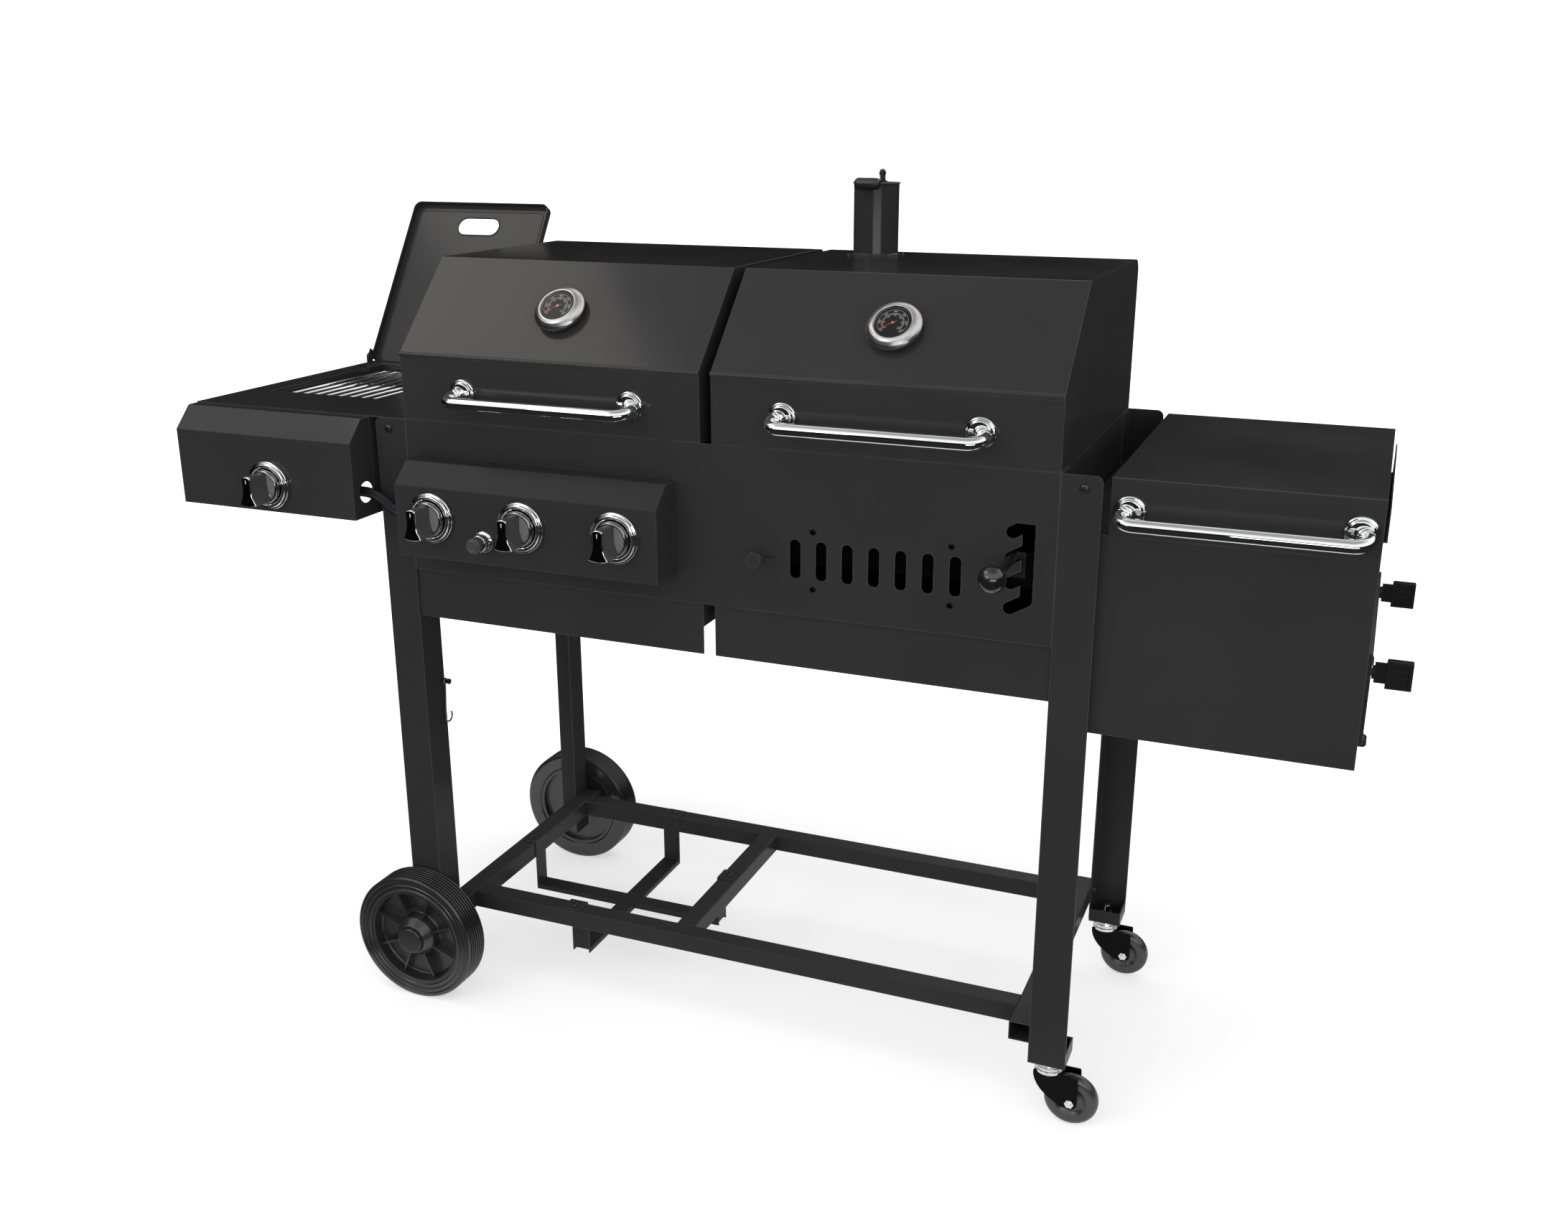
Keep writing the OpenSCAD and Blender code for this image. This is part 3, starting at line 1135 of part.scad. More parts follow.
// ---------------------------------------------------------------- small parts
module match_hook() place() color("#b9b9bc") translate([-hw + 6, hook_y, hook_z]) {
    difference() {
        union() {
            bar_x(-2.5, 2.5, 0, 0, 5.5);
            rotate([hook_a, 0, 0]) bar_z(-62, -4, 0, 0, 1.5);
        }
        bar_x(-5, 5, 0, 0, 2.5 + run_fit);
    }
    rotate([hook_a, 0, 0]) translate([0, 9, -62]) rotate([0, 0, 90]) rotate([90, 0, 0])
        rotate(180) rotate_extrude(angle = 230) translate([9, 0]) circle(1.5);
}

module head(r, h) rotate_extrude() polygon([[0, 0], [r, 0], [r, h * 0.3], [r * 0.8, h * 0.75], [r * 0.4, h], [0, h]]);
module head_front(x, y, z, r, h) translate([x, y, z]) rotate([90, 0, 0]) head(r, h);
module head_back(x, y, z, r, h) translate([x, y, z]) rotate([-90, 0, 0]) head(r, h);
module head_up(x, y, z, r, h) translate([x, y, z]) head(r, h);
module screws() place() color("#b0b0b3") {
    for (s = [-1, 1]) {
        head_front(s * (hw + 31), 0, deck_h - 17.5, 6.5, 4);
        head_back(s * (hw + 31), box_d, deck_h - 19, 6.5, 4);
        for (y = [20, box_d - 20]) translate([s * (hw + leg_t), y, rail_z + rail_h / 2])
            rotate([0, s * 90, 0]) head(6.5, 4);
    }
    for (x = guide_xs) for (s = [-1, 1]) {
        z = slot_z + s * (slot_len / 2 + 13);
        head_front(x, 0, z, 4.3, 2);
        bar_y(-eps, front_in + sheet + 2, x, z, 2.5);
    }
    for (x = [cradle_x0 - 16, rail_mid_x + 16]) head_up(x, cradle_y, rail_top + strap_t, 5, 3);
    for (y = [rail_front + rail_w - 16, rail_back + 16]) head_up(cradle_x, y, rail_top + strap_t, 5, 3);
    // the bolt the match hook hangs from
    bar_x(-hw - leg_t - 4, -hw + 12, hook_y, hook_z, 2.5);
    translate([-hw + 11, hook_y, hook_z]) rotate([0, 90, 0]) cylinder(h = 4, r = 5, $fn = 6);
    translate([-hw - leg_t - 4, hook_y, hook_z]) rotate([0, 90, 0]) cylinder(h = 4, r = 5, $fn = 6);
}

front_left_leg();
back_left_leg();
front_right_leg();
back_right_leg();
cross_rails();
side_rails();
tank_cradle();
wheel_axle();
front_wheel_tyre();
front_wheel_rim();
back_wheel_tyre();
back_wheel_rim();
caster_stems();
front_caster_fork();
front_caster_wheel();
back_caster_fork();
back_caster_wheel();
gas_firebox();
charcoal_firebox();
front_panel();
control_box();
left_knob();
middle_knob();
right_knob();
knob_bezels();
igniter_button();
gas_manifold();
gas_burners();
heat_plates();
cooking_grates();
grease_tray();
charcoal_tray();
tray_lever();
vent_damper();
gas_lid();
gas_lid_handle();
gas_thermometer();
charcoal_lid();
charcoal_lid_handle();
charcoal_thermometer();
chimney_tube();
chimney_cap();
chimney_bolt();
lid_hinges();
side_tray();
side_fascia();
side_burner();
side_grate();
side_lid();
side_knob();
gas_hose();
offset_firebox();
firebox_lid();
firebox_handle();
ash_door();
front_latch();
back_latch();
fire_grate();
match_hook();
screws();
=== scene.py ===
import bpy
import bmesh
import json
from math import acos, cos, pi, radians, sin
from mathutils import Vector, Matrix


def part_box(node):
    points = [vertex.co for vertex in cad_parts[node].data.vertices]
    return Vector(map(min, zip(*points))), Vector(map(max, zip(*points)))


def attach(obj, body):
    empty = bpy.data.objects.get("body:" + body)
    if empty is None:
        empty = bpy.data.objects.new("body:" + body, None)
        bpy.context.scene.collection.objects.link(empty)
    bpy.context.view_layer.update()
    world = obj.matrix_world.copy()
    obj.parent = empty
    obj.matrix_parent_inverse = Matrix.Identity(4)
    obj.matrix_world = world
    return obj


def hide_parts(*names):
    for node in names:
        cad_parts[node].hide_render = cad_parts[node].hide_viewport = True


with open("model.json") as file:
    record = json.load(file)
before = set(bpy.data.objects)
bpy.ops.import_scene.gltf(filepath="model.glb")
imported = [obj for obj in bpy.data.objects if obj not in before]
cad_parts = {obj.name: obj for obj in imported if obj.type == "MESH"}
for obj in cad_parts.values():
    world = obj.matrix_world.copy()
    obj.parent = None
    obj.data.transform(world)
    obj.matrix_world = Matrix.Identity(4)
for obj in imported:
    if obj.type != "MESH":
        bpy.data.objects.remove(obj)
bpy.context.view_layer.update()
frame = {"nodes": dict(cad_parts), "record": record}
nodes = frame["nodes"]
scene = bpy.context.scene
panelLow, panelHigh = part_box("front_panel")
zero = Vector(((panelLow.x + panelHigh.x) / 2, panelLow.y, 0))  # bench zero: middle of the front face, at the floor
deck = panelHigh.z * 1000  # lid seam, mm
bodyOf = {name: body for body, names in frame["record"]["behaviour"]["bodies"].items() for name in names}
print("frame loaded:", len(nodes), "nodes")


# ---- camera, floor, light
camera = bpy.data.objects.new("camera", bpy.data.cameras.new("camera"))
scene.collection.objects.link(camera)
cameraWork = {"place": (0.856, -2.1519, 1.4067), "pitch": 71.981, "turn": 21.951, "lens": 34.79, "sensor": 36}
camera.location = cameraWork["place"]
camera.rotation_euler = (radians(cameraWork["pitch"]), 0, radians(cameraWork["turn"]))
camera.data.lens = cameraWork["lens"]
camera.data.sensor_width = cameraWork["sensor"]
scene.camera = camera
scene.view_settings.view_transform = "Standard"

studio = {
    "floorTone": 0.8, "floorSize": 30,
    "nearLift": 0.46, "liftNear": 0.45, "liftFar": 1.3,  # the floor's own white, from the contact shadow outwards
    "poolNear": 0.38, "poolFar": 0.62, "poolLevel": 0.3,  # metres from the cart's long axis
    "cameraWhite": 1.05, "ambient": 1.08, "ambientHigh": 0.74,  # soft light from the horizon and from overhead
    "skyStart": 0.30, "skyEnd": 0.36,  # sine of the height where the white surround begins
    "zenith": 0.35, "behind": 0.1,  # the surround's level overhead and behind the cart
    "away": (-0.902, 0.431, 0.0),  # the level direction behind the cart, to the left
    "lamps": [  # name, place, aim, width, height, watts, tint
        ("overheadLeft", (-1.45, -0.55, 2.7), (-0.35, -0.1, 1.1), 1.1, 0.8, 4.6, (1, 0.96, 0.92)),
        ("stripFront", (1.8, -3.9, 1.25), (0.1, 0.15, 1.25), 3.2, 0.6, 24, (1, 1, 1)),
        ("frontLeft", (-1.6, -3.4, 2.6), (0.0, 0.0, 0.8), 1.2, 1.0, 9, (0.97, 0.98, 1)),
    ],
}


def add(tree, kind, inputs={}, **props):
    made = tree.nodes.new(kind)
    for key, value in props.items():
        setattr(made, key, value)
    for key, value in inputs.items():
        if isinstance(value, bpy.types.NodeSocket):
            tree.links.new(value, made.inputs[key])
        else:
            made.inputs[key].default_value = value
    return made


def sums(tree, operation, a, b=0.0, clamp=False):
    return add(tree, "ShaderNodeMath", {0: a, 1: b}, operation=operation, use_clamp=clamp).outputs[0]


def ramp(tree, value, low, high, outLow=0.0, outHigh=1.0, smooth=False):
    kind = "SMOOTHSTEP" if smooth else "LINEAR"
    ends = {0: value, 1: low, 2: high, 3: outLow, 4: outHigh}
    return add(tree, "ShaderNodeMapRange", ends, interpolation_type=kind).outputs[0]


def blended(tree, share, first, second):
    return add(tree, "ShaderNodeMix", {0: share, 6: first, 7: second}, data_type="RGBA").outputs[2]


def objectPlace(tree):
    return add(tree, "ShaderNodeTexCoord").outputs["Object"]


def buildWorld():
    world = bpy.data.worlds.new("studio")
    scene.world = world
    world.use_nodes = True
    tree = world.node_tree
    tree.nodes.clear()
    rays = add(tree, "ShaderNodeLightPath").outputs
    direction = add(tree, "ShaderNodeTexCoord").outputs["Generated"]
    height = add(tree, "ShaderNodeSeparateXYZ", {0: direction}).outputs["Z"]
    rise = ramp(tree, height, studio["skyStart"], studio["skyEnd"], 0.01, 1.0, True)
    surround = sums(tree, "MULTIPLY", rise, ramp(tree, height, 0.72, 0.97, 1.0, studio["zenith"], True))
    away = add(tree, "ShaderNodeVectorMath", {0: direction, 1: studio["away"]}, operation="DOT_PRODUCT")
    behind = ramp(tree, away.outputs["Value"], 0.54, 0.66, 1.0, studio["behind"], True)
    surround = sums(tree, "MULTIPLY", surround, behind)
    soft = ramp(tree, height, 0.05, 0.9, studio["ambient"], studio["ambientHigh"], True)
    shiny = sums(tree, "MAXIMUM", rays["Is Glossy Ray"], rays["Is Transmission Ray"])
    level = add(tree, "ShaderNodeMix", {0: shiny, 2: soft, 3: surround}).outputs[0]
    level = add(tree, "ShaderNodeMix", {0: rays["Is Camera Ray"], 2: level, 3: studio["cameraWhite"]}).outputs[0]
    glow = add(tree, "ShaderNodeBackground", {"Color": (1, 1, 1, 1), "Strength": level})
    add(tree, "ShaderNodeOutputWorld", {"Surface": glow.outputs[0]})


def buildFloor():
    bm = bmesh.new()
    bmesh.ops.create_grid(bm, x_segments=1, y_segments=1, size=studio["floorSize"])
    mesh = bpy.data.meshes.new("floor")
    bm.to_mesh(mesh)
    bm.free()
    floor = bpy.data.objects.new("floor", mesh)
    scene.collection.objects.link(floor)
    paper = bpy.data.materials.new("floorPaper")
    paper.use_nodes = True
    tree = paper.node_tree
    tree.nodes.clear()
    rays = add(tree, "ShaderNodeLightPath").outputs
    place = add(tree, "ShaderNodeTexCoord").outputs["Object"]
    oval = add(tree, "ShaderNodeVectorMath", {0: place, 1: (0.38, 1.0, 0.0)}, operation="MULTIPLY").outputs[0]
    reach = add(tree, "ShaderNodeVectorMath", {0: oval}, operation="LENGTH").outputs["Value"]
    pool = ramp(tree, reach, studio["poolNear"], studio["poolFar"], 1.0, 0.0, True)  # light pool under the cart
    mirrored = sums(tree, "MAXIMUM", rays["Is Glossy Ray"], rays["Is Transmission Ray"])
    shiny = sums(tree, "MULTIPLY", mirrored, pool)
    # pure white away from the contact shadow
    seen = ramp(tree, reach, studio["liftNear"], studio["liftFar"], studio["nearLift"], 1.0, True)
    lit = sums(tree, "MULTIPLY", shiny, studio["poolLevel"])
    lift = add(tree, "ShaderNodeMix", {0: rays["Is Camera Ray"], 2: lit, 3: seen}).outputs[0]
    tone = studio["floorTone"]
    paint = add(tree, "ShaderNodeBsdfDiffuse", {"Color": (tone, tone, tone, 1), "Roughness": 0.5}).outputs[0]
    glow = add(tree, "ShaderNodeEmission", {"Strength": lift}).outputs[0]
    lighted = add(tree, "ShaderNodeAddShader", {0: paint, 1: glow}).outputs[0]
    dark = add(tree, "ShaderNodeBsdfDiffuse", {"Color": (0.02, 0.02, 0.02, 1)}).outputs[0]
    away = sums(tree, "MULTIPLY", rays["Is Glossy Ray"], sums(tree, "SUBTRACT", 1.0, pool))
    mixed = add(tree, "ShaderNodeMixShader", {0: away, 1: lighted, 2: dark}).outputs[0]
    add(tree, "ShaderNodeOutputMaterial", {"Surface": mixed})
    mesh.materials.append(paper)


def buildLamps():
    for name, place, aim, width, height, watts, tint in studio["lamps"]:
        lamp = bpy.data.lights.new(name, "AREA")
        lamp.shape = "RECTANGLE"
        lamp.size, lamp.size_y, lamp.energy, lamp.color = width, height, watts, tint
        holder = bpy.data.objects.new(name, lamp)
        scene.collection.objects.link(holder)
        holder.location = place
        holder.rotation_euler = (Vector(aim) - Vector(place)).to_track_quat("-Z", "Y").to_euler()
        holder.visible_camera = False


buildWorld()
buildFloor()
buildLamps()
print("camera, floor and lamps set")


# ---- shared shader groups
def newGroup(name, kind, ins, outs):
    tree = bpy.data.node_groups.new(name, kind)
    for label, socketType, value in ins:
        socket = tree.interface.new_socket(name=label, in_out="INPUT", socket_type=socketType)
        if value is not None:
            socket.default_value = value
    for label, socketType in outs:
        tree.interface.new_socket(name=label, in_out="OUTPUT", socket_type=socketType)
    return tree, tree.nodes.new("NodeGroupInput").outputs, tree.nodes.new("NodeGroupOutput").inputs


def noiseAt(tree, where, scale, detail=2.0, rough=0.5):
    values = {"Vector": where, "Scale": scale, "Detail": detail, "Roughness": rough}
    return add(tree, "ShaderNodeTexNoise", values).outputs["Fac"]


def paintSkin():  # sprayed paint: faint clouding, orange peel, settled dust on level faces
    tree, ins, outs = newGroup("paintSkin", "ShaderNodeTree",
        [("Tone", "NodeSocketColor", (0.02, 0.02, 0.02, 1)), ("Clouding", "NodeSocketFloat", 0.15),
         ("Gloss", "NodeSocketFloat", 0.25), ("Peel", "NodeSocketFloat", 700.0), ("Dust", "NodeSocketFloat", 0.1)],
        [("Color", "NodeSocketColor"), ("Roughness", "NodeSocketFloat"), ("Height", "NodeSocketFloat")])
    where = objectPlace(tree)
    cloud = ramp(tree, noiseAt(tree, where, 5.0, 3.0), 0.3, 0.7, -1.0, 1.0)
    speck = noiseAt(tree, where, 160.0, 3.0, 0.7)
    shade = sums(tree, "ADD", 1.0, sums(tree, "MULTIPLY", cloud, ins["Clouding"]))
    tone = add(tree, "ShaderNodeVectorMath", {0: ins["Tone"], "Scale": shade}, operation="SCALE").outputs[0]
    up = add(tree, "ShaderNodeSeparateXYZ", {0: add(tree, "ShaderNodeNewGeometry").outputs["Normal"]}).outputs["Z"]
    dusty = sums(tree, "MULTIPLY", ramp(tree, up, 0.6, 1.0), sums(tree, "MULTIPLY", speck, ins["Dust"]))
    tree.links.new(blended(tree, dusty, tone, (0.09, 0.085, 0.08, 1)), outs["Color"])
    tree.links.new(sums(tree, "ADD", ins["Gloss"], sums(tree, "MULTIPLY", cloud, 0.03)), outs["Roughness"])
    tree.links.new(noiseAt(tree, where, ins["Peel"], 1.0), outs["Height"])
    return tree


def edgeRub():  # 0 on flats, 1 on outer edges: a painted highlight where edges would catch the light, in wear-like patches
    tree, ins, outs = newGroup("edgeRub", "ShaderNodeTree",
        [("Reach", "NodeSocketFloat", 0.0016), ("Amount", "NodeSocketFloat", 1.0)], [("Mask", "NodeSocketFloat")])
    bent = add(tree, "ShaderNodeBevel", {"Radius": ins["Reach"]}, samples=3).outputs[0]
    flat = add(tree, "ShaderNodeNewGeometry").outputs["Normal"]
    bend = add(tree, "ShaderNodeVectorMath", {0: bent, 1: flat}, operation="DOT_PRODUCT")
    where = objectPlace(tree)
    patch = ramp(tree, noiseAt(tree, where, 22.0, 3.0), 0.3, 0.75, 0.35, 1.0)
    # painted highlight mask along outer edges, broken up by the patch noise like worn paint
    wearHighlight = sums(tree, "MULTIPLY", ramp(tree, bend.outputs["Value"], 0.995, 0.86), patch)
    tree.links.new(sums(tree, "MULTIPLY", wearHighlight, ins["Amount"], True), outs["Mask"])
    return tree


def metalGrain():  # brushing that follows the piece's own UV map
    tree, ins, outs = newGroup("metalGrain", "ShaderNodeTree",
        [("Around", "NodeSocketFloat", 3.0), ("Along", "NodeSocketFloat", 90.0), ("Gloss", "NodeSocketFloat", 0.25),
         ("Spread", "NodeSocketFloat", 0.12)],
        [("Roughness", "NodeSocketFloat"), ("Height", "NodeSocketFloat"), ("Shade", "NodeSocketFloat")])
    uv = add(tree, "ShaderNodeSeparateXYZ", {0: add(tree, "ShaderNodeTexCoord").outputs["UV"]}).outputs
    where = add(tree, "ShaderNodeCombineXYZ", {0: sums(tree, "MULTIPLY", uv["X"], ins["Around"]),
                                               1: sums(tree, "MULTIPLY", uv["Y"], ins["Along"])}).outputs[0]
    grain = noiseAt(tree, where, 1.0, 4.0, 0.65)
    least = sums(tree, "SUBTRACT", ins["Gloss"], ins["Spread"])
    most = sums(tree, "ADD", ins["Gloss"], ins["Spread"])
    tree.links.new(ramp(tree, grain, 0.3, 0.7, least, most), outs["Roughness"])
    tree.links.new(grain, outs["Height"])
    tree.links.new(ramp(tree, grain, 0.3, 0.7, 0.82, 1.0), outs["Shade"])
    return tree


def mouldGrain():  # fine moulded texture of plastic and rubber, with scuffs
    tree, ins, outs = newGroup("mouldGrain", "ShaderNodeTree",
        [("Tone", "NodeSocketColor", (0.02, 0.02, 0.02, 1)), ("Scale", "NodeSocketFloat", 900.0),
         ("Gloss", "NodeSocketFloat", 0.4), ("Scuff", "NodeSocketFloat", 0.15)],
        [("Color", "NodeSocketColor"), ("Roughness", "NodeSocketFloat"), ("Height", "NodeSocketFloat")])
    where = objectPlace(tree)
    scuff = ramp(tree, noiseAt(tree, where, 35.0, 5.0, 0.7), 0.52, 0.75)
    amount = sums(tree, "MULTIPLY", scuff, ins["Scuff"])
    tree.links.new(blended(tree, amount, ins["Tone"], (0.11, 0.108, 0.105, 1)), outs["Color"])
    tree.links.new(sums(tree, "ADD", ins["Gloss"], sums(tree, "MULTIPLY", amount, 0.6)), outs["Roughness"])
    tree.links.new(noiseAt(tree, where, ins["Scale"], 2.0), outs["Height"])
    return tree


def heatStain():  # straw, brown and blue temper colours and soot in patches
    tree, ins, outs = newGroup("heatStain", "ShaderNodeTree",
        [("Tone", "NodeSocketColor", (0.4, 0.39, 0.38, 1)), ("Amount", "NodeSocketFloat", 0.4),
         ("Scale", "NodeSocketFloat", 14.0)],
        [("Color", "NodeSocketColor"), ("Roughness", "NodeSocketFloat"), ("Height", "NodeSocketFloat")])
    where = objectPlace(tree)
    patch = noiseAt(tree, where, ins["Scale"], 4.0, 0.6)
    tint = add(tree, "ShaderNodeValToRGB", {0: patch})
    stops = tint.color_ramp.elements
    temper = ((0.3, (0.30, 0.30, 0.31, 1)), (0.45, (0.33, 0.26, 0.17, 1)),
              (0.56, (0.20, 0.13, 0.12, 1)), (0.7, (0.10, 0.12, 0.17, 1)))
    for place, colour in temper:
        stops.new(place).color = colour
    stops.remove(stops[0])
    tree.links.new(blended(tree, ins["Amount"], ins["Tone"], tint.outputs[0]), outs["Color"])
    tree.links.new(ramp(tree, patch, 0.3, 0.7, 0.3, 0.6), outs["Roughness"])
    tree.links.new(noiseAt(tree, where, 420.0, 4.0, 0.7), outs["Height"])
    return tree


groups = {"paint": paintSkin(), "wearHighlight": edgeRub(), "grain": metalGrain(), "mould": mouldGrain(), "heat": heatStain()}
# pale grey painted onto outer edges as a highlight, and partly as worn paint
defaultWearHighlightTone = (0.17, 0.168, 0.165)


# ---- finishes
def newFinish(name):
    made = bpy.data.materials.new(name)
    made.use_nodes = True
    tree = made.node_tree
    return made, tree, tree.nodes["Principled BSDF"]


def placeGroup(tree, key, values):
    made = tree.nodes.new("ShaderNodeGroup")
    made.node_tree = groups[key]
    for label, value in values.items():
        made.inputs[label].default_value = value
    return made.outputs


def bumpInto(tree, shader, height, strength, distance):
    bump = add(tree, "ShaderNodeBump", {"Strength": strength, "Distance": distance, "Height": height})
    tree.links.new(bump.outputs[0], shader.inputs["Normal"])


def join(tree, skin, shader, tone=None):  # a skin's colour and roughness go into the shader
    tree.links.new(tone or skin["Color"], shader.inputs["Base Color"])
    tree.links.new(skin["Roughness"], shader.inputs["Roughness"])


def paintFinish(name, tone, gloss, clouding=0.07, peel=650.0, wearHighlightTone=defaultWearHighlightTone, wearHighlight=0.6, level=0.25):
    made, tree, shader = newFinish(name)
    skin = placeGroup(tree, "paint", {"Tone": (*tone, 1), "Clouding": clouding, "Gloss": gloss, "Peel": peel, "Dust": 0.05})
    edge = placeGroup(tree, "wearHighlight", {"Reach": 0.0017, "Amount": wearHighlight})
    # painted highlight: the base colour is lightened toward the edge tone along outer edges, in wear-like patches
    join(tree, skin, shader, blended(tree, edge["Mask"], skin["Color"], (*wearHighlightTone, 1)))
    shader.inputs["Specular IOR Level"].default_value = level
    bumpInto(tree, shader, skin["Height"], 0.032, 0.0004)
    return made


def metalFinish(name, tone, gloss, spread=0.02, around=3.0, along=90.0, bump=0.0, shade=False):
    made, tree, shader = newFinish(name)
    grain = placeGroup(tree, "grain", {"Around": around, "Along": along, "Gloss": gloss, "Spread": spread})
    shader.inputs["Metallic"].default_value = 1.0
    shader.inputs["Base Color"].default_value = (*tone, 1)
    if shade:
        tree.links.new(blended(tree, grain["Shade"], (0, 0, 0, 1), (*tone, 1)), shader.inputs["Base Color"])
    tree.links.new(grain["Roughness"], shader.inputs["Roughness"])
    if bump:
        bumpInto(tree, shader, grain["Height"], bump, 0.0003)
    return made


def mouldFinish(name, tone, gloss, scuff=0.12, scale=900.0, bump=0.08, coat=0.0, level=0.4):
    made, tree, shader = newFinish(name)
    skin = placeGroup(tree, "mould", {"Tone": (*tone, 1), "Scale": scale, "Gloss": gloss, "Scuff": scuff})
    join(tree, skin, shader)
    shader.inputs["Specular IOR Level"].default_value = level
    shader.inputs["Coat Weight"].default_value = coat
    shader.inputs["Coat Roughness"].default_value = 0.05
    bumpInto(tree, shader, skin["Height"], bump, 0.0003)
    return made


def heatFinish(name, tone, amount, metallic, scale=14.0, bump=0.12, level=0.4):
    made, tree, shader = newFinish(name)
    skin = placeGroup(tree, "heat", {"Tone": (*tone, 1), "Amount": amount, "Scale": scale})
    join(tree, skin, shader)
    shader.inputs["Metallic"].default_value = metallic
    shader.inputs["Specular IOR Level"].default_value = level
    bumpInto(tree, shader, skin["Height"], bump, 0.0006)
    return made


def hoseFinish():
    made, tree, shader = newFinish("ribbedHose")
    skin = placeGroup(tree, "mould", {"Tone": (0.0085, 0.009, 0.0125, 1), "Scale": 1400.0, "Gloss": 0.36, "Scuff": 0.08})
    around = add(tree, "ShaderNodeSeparateXYZ", {0: add(tree, "ShaderNodeTexCoord").outputs["UV"]}).outputs["X"]
    rib = sums(tree, "SINE", sums(tree, "MULTIPLY", around, 2 * pi * 26))  # 26 fine ribs run along the hose
    join(tree, skin, shader)
    bumpInto(tree, shader, rib, 0.55, 0.0006)
    return made


def glassFinish():
    made, tree, shader = newFinish("gaugeGlass")
    shader.inputs["Base Color"].default_value = (0.97, 0.98, 0.98, 1)
    shader.inputs["Transmission Weight"].default_value = 1.0
    shader.inputs["IOR"].default_value = 1.12
    where = objectPlace(tree)
    smear = ramp(tree, noiseAt(tree, where, 60.0, 3.0), 0.4, 0.8, 0.01, 0.05)
    tree.links.new(smear, shader.inputs["Roughness"])
    return made


black = (0.0325, 0.0315, 0.0318)
finishes = {
    "enamel": paintFinish("satinEnamel", black, 0.15),
    "boxEnamel": paintFinish("softEnamel", black, 0.24, level=0.06),
    "frame_paint": paintFinish("framePowder", (0.0315, 0.0308, 0.031), 0.28, 0.06, 900.0, level=0.1),
    "chrome": metalFinish("polishedChrome", (0.94, 0.945, 0.95), 0.02, 0.008, 6.0, 5.0),
    "zinc": metalFinish("zincPlate", (0.42, 0.42, 0.43), 0.34, 0.08, 9.0, 40.0, 0.1, True),
    "gauge_steel": metalFinish("brushedSteel", (0.70, 0.69, 0.68), 0.24, 0.09, 2.0, 1400.0, 0.22, True),
    "tyre": mouldFinish("tyreRubber", (0.02, 0.0197, 0.0195), 0.22, 0.05, 700.0, 0.05, 0.0, 0.9),
    "rim": mouldFinish("rimPlastic", (0.022, 0.0217, 0.0216), 0.26, 0.05, 1100.0, 0.06, 0.0, 0.9),
    "roller": mouldFinish("rollerRubber", (0.032, 0.0316, 0.0313), 0.26, 0.06, 900.0, 0.05, 0.0, 0.9),
    "fork": mouldFinish("blackPlate", (0.0018, 0.0018, 0.0019), 0.12, 0.02, 500.0, 0.02, 0.0, 0.1),
    "knob": mouldFinish("glossKnob", (0.0014, 0.0014, 0.0015), 0.08, 0.02, 500.0, 0.01, 0.0, 0.25),
    "knobRim": metalFinish("knobRim", (0.36, 0.36, 0.365), 0.16, 0.03, 6.0, 8.0),
    # the grey face in the knob's recess, made lighter than its own grey: painted light against the shade of the recess
    "knobFaceWithPaintedLight": mouldFinish("satinKnobFaceLightened", (0.22, 0.217, 0.215), 0.36, 0.03, 1500.0, 0.04),
    "knobSide": mouldFinish("satinGrip", (0.062, 0.061, 0.0605), 0.3, 0.04, 1500.0, 0.04),
    "ball": mouldFinish("phenolicBall", (0.008, 0.0078, 0.0078), 0.2, 0.05, 400.0, 0.02, 0.5, 0.9),
    "brass": metalFinish("castBrass", (0.62, 0.45, 0.2), 0.36, 0.1, 6.0, 30.0, 0.15, True),
    "burner": heatFinish("burnerSteel", (0.42, 0.41, 0.4), 0.45, 1.0),
    "grate": heatFinish("grateIron", (0.016, 0.0157, 0.0155), 0.04, 0.0, 20.0, 0.25),
    "tray": heatFinish("coalTray", (0.002, 0.002, 0.0019), 0.004, 0.0, 10.0, 0.1, 0.05),
    "drip": metalFinish("dripSteel", (0.55, 0.55, 0.55), 0.32, 0.08, 3.0, 20.0, 0.05, True),
    "hose": hoseFinish(),
    # latch: a darker grey painted highlight on its outer edges
    "latch": paintFinish("latchCoat", (0.0125, 0.0122, 0.0122), 0.34, 0.1, 1100.0, (0.04, 0.039, 0.038), 0.4),
    "blackZinc": mouldFinish("blackZinc", (0.0125, 0.0122, 0.012), 0.33, 0.1, 900.0, 0.06, 0.0, 0.8),
    "dial": mouldFinish("dialBlack", (0.0065, 0.0065, 0.0066), 0.5, 0.02, 1800.0, 0.03),
    "ink": mouldFinish("dialInk", (0.75, 0.75, 0.74), 0.5, 0.0, 1800.0, 0.01),
    "needle": mouldFinish("needleRed", (0.62, 0.012, 0.014), 0.35, 0.0, 1800.0, 0.01),
    "glass": glassFinish(),
}
print("finishes mixed:", len(finishes))


# ---- mesh helpers; work is in millimetres and set down with a place matrix
def moved(x, y, z):
    return Matrix.Translation((x, y, z))


def spot(x, y, z, turn=Matrix.Identity(4)):
    return Matrix.Translation(zero + Vector((x, y, z)) / 1000) @ turn @ Matrix.Scale(0.001, 4)


def bench(point):
    return (point - zero) * 1000


def middle(node):
    low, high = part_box(node)
    return bench((low + high) / 2), bench(low), bench(high)


unturned = Matrix.Identity(4)
toFront = Matrix.Rotation(pi / 2, 4, "X")  # a turned shape's axis points at the cook
toBack = Matrix.Rotation(-pi / 2, 4, "X")
toRight = Matrix.Rotation(pi / 2, 4, "Y")
onBench = spot(0, 0, 0)


def newWork():
    bm = bmesh.new()
    bm.loops.layers.uv.new("UVMap")
    return bm


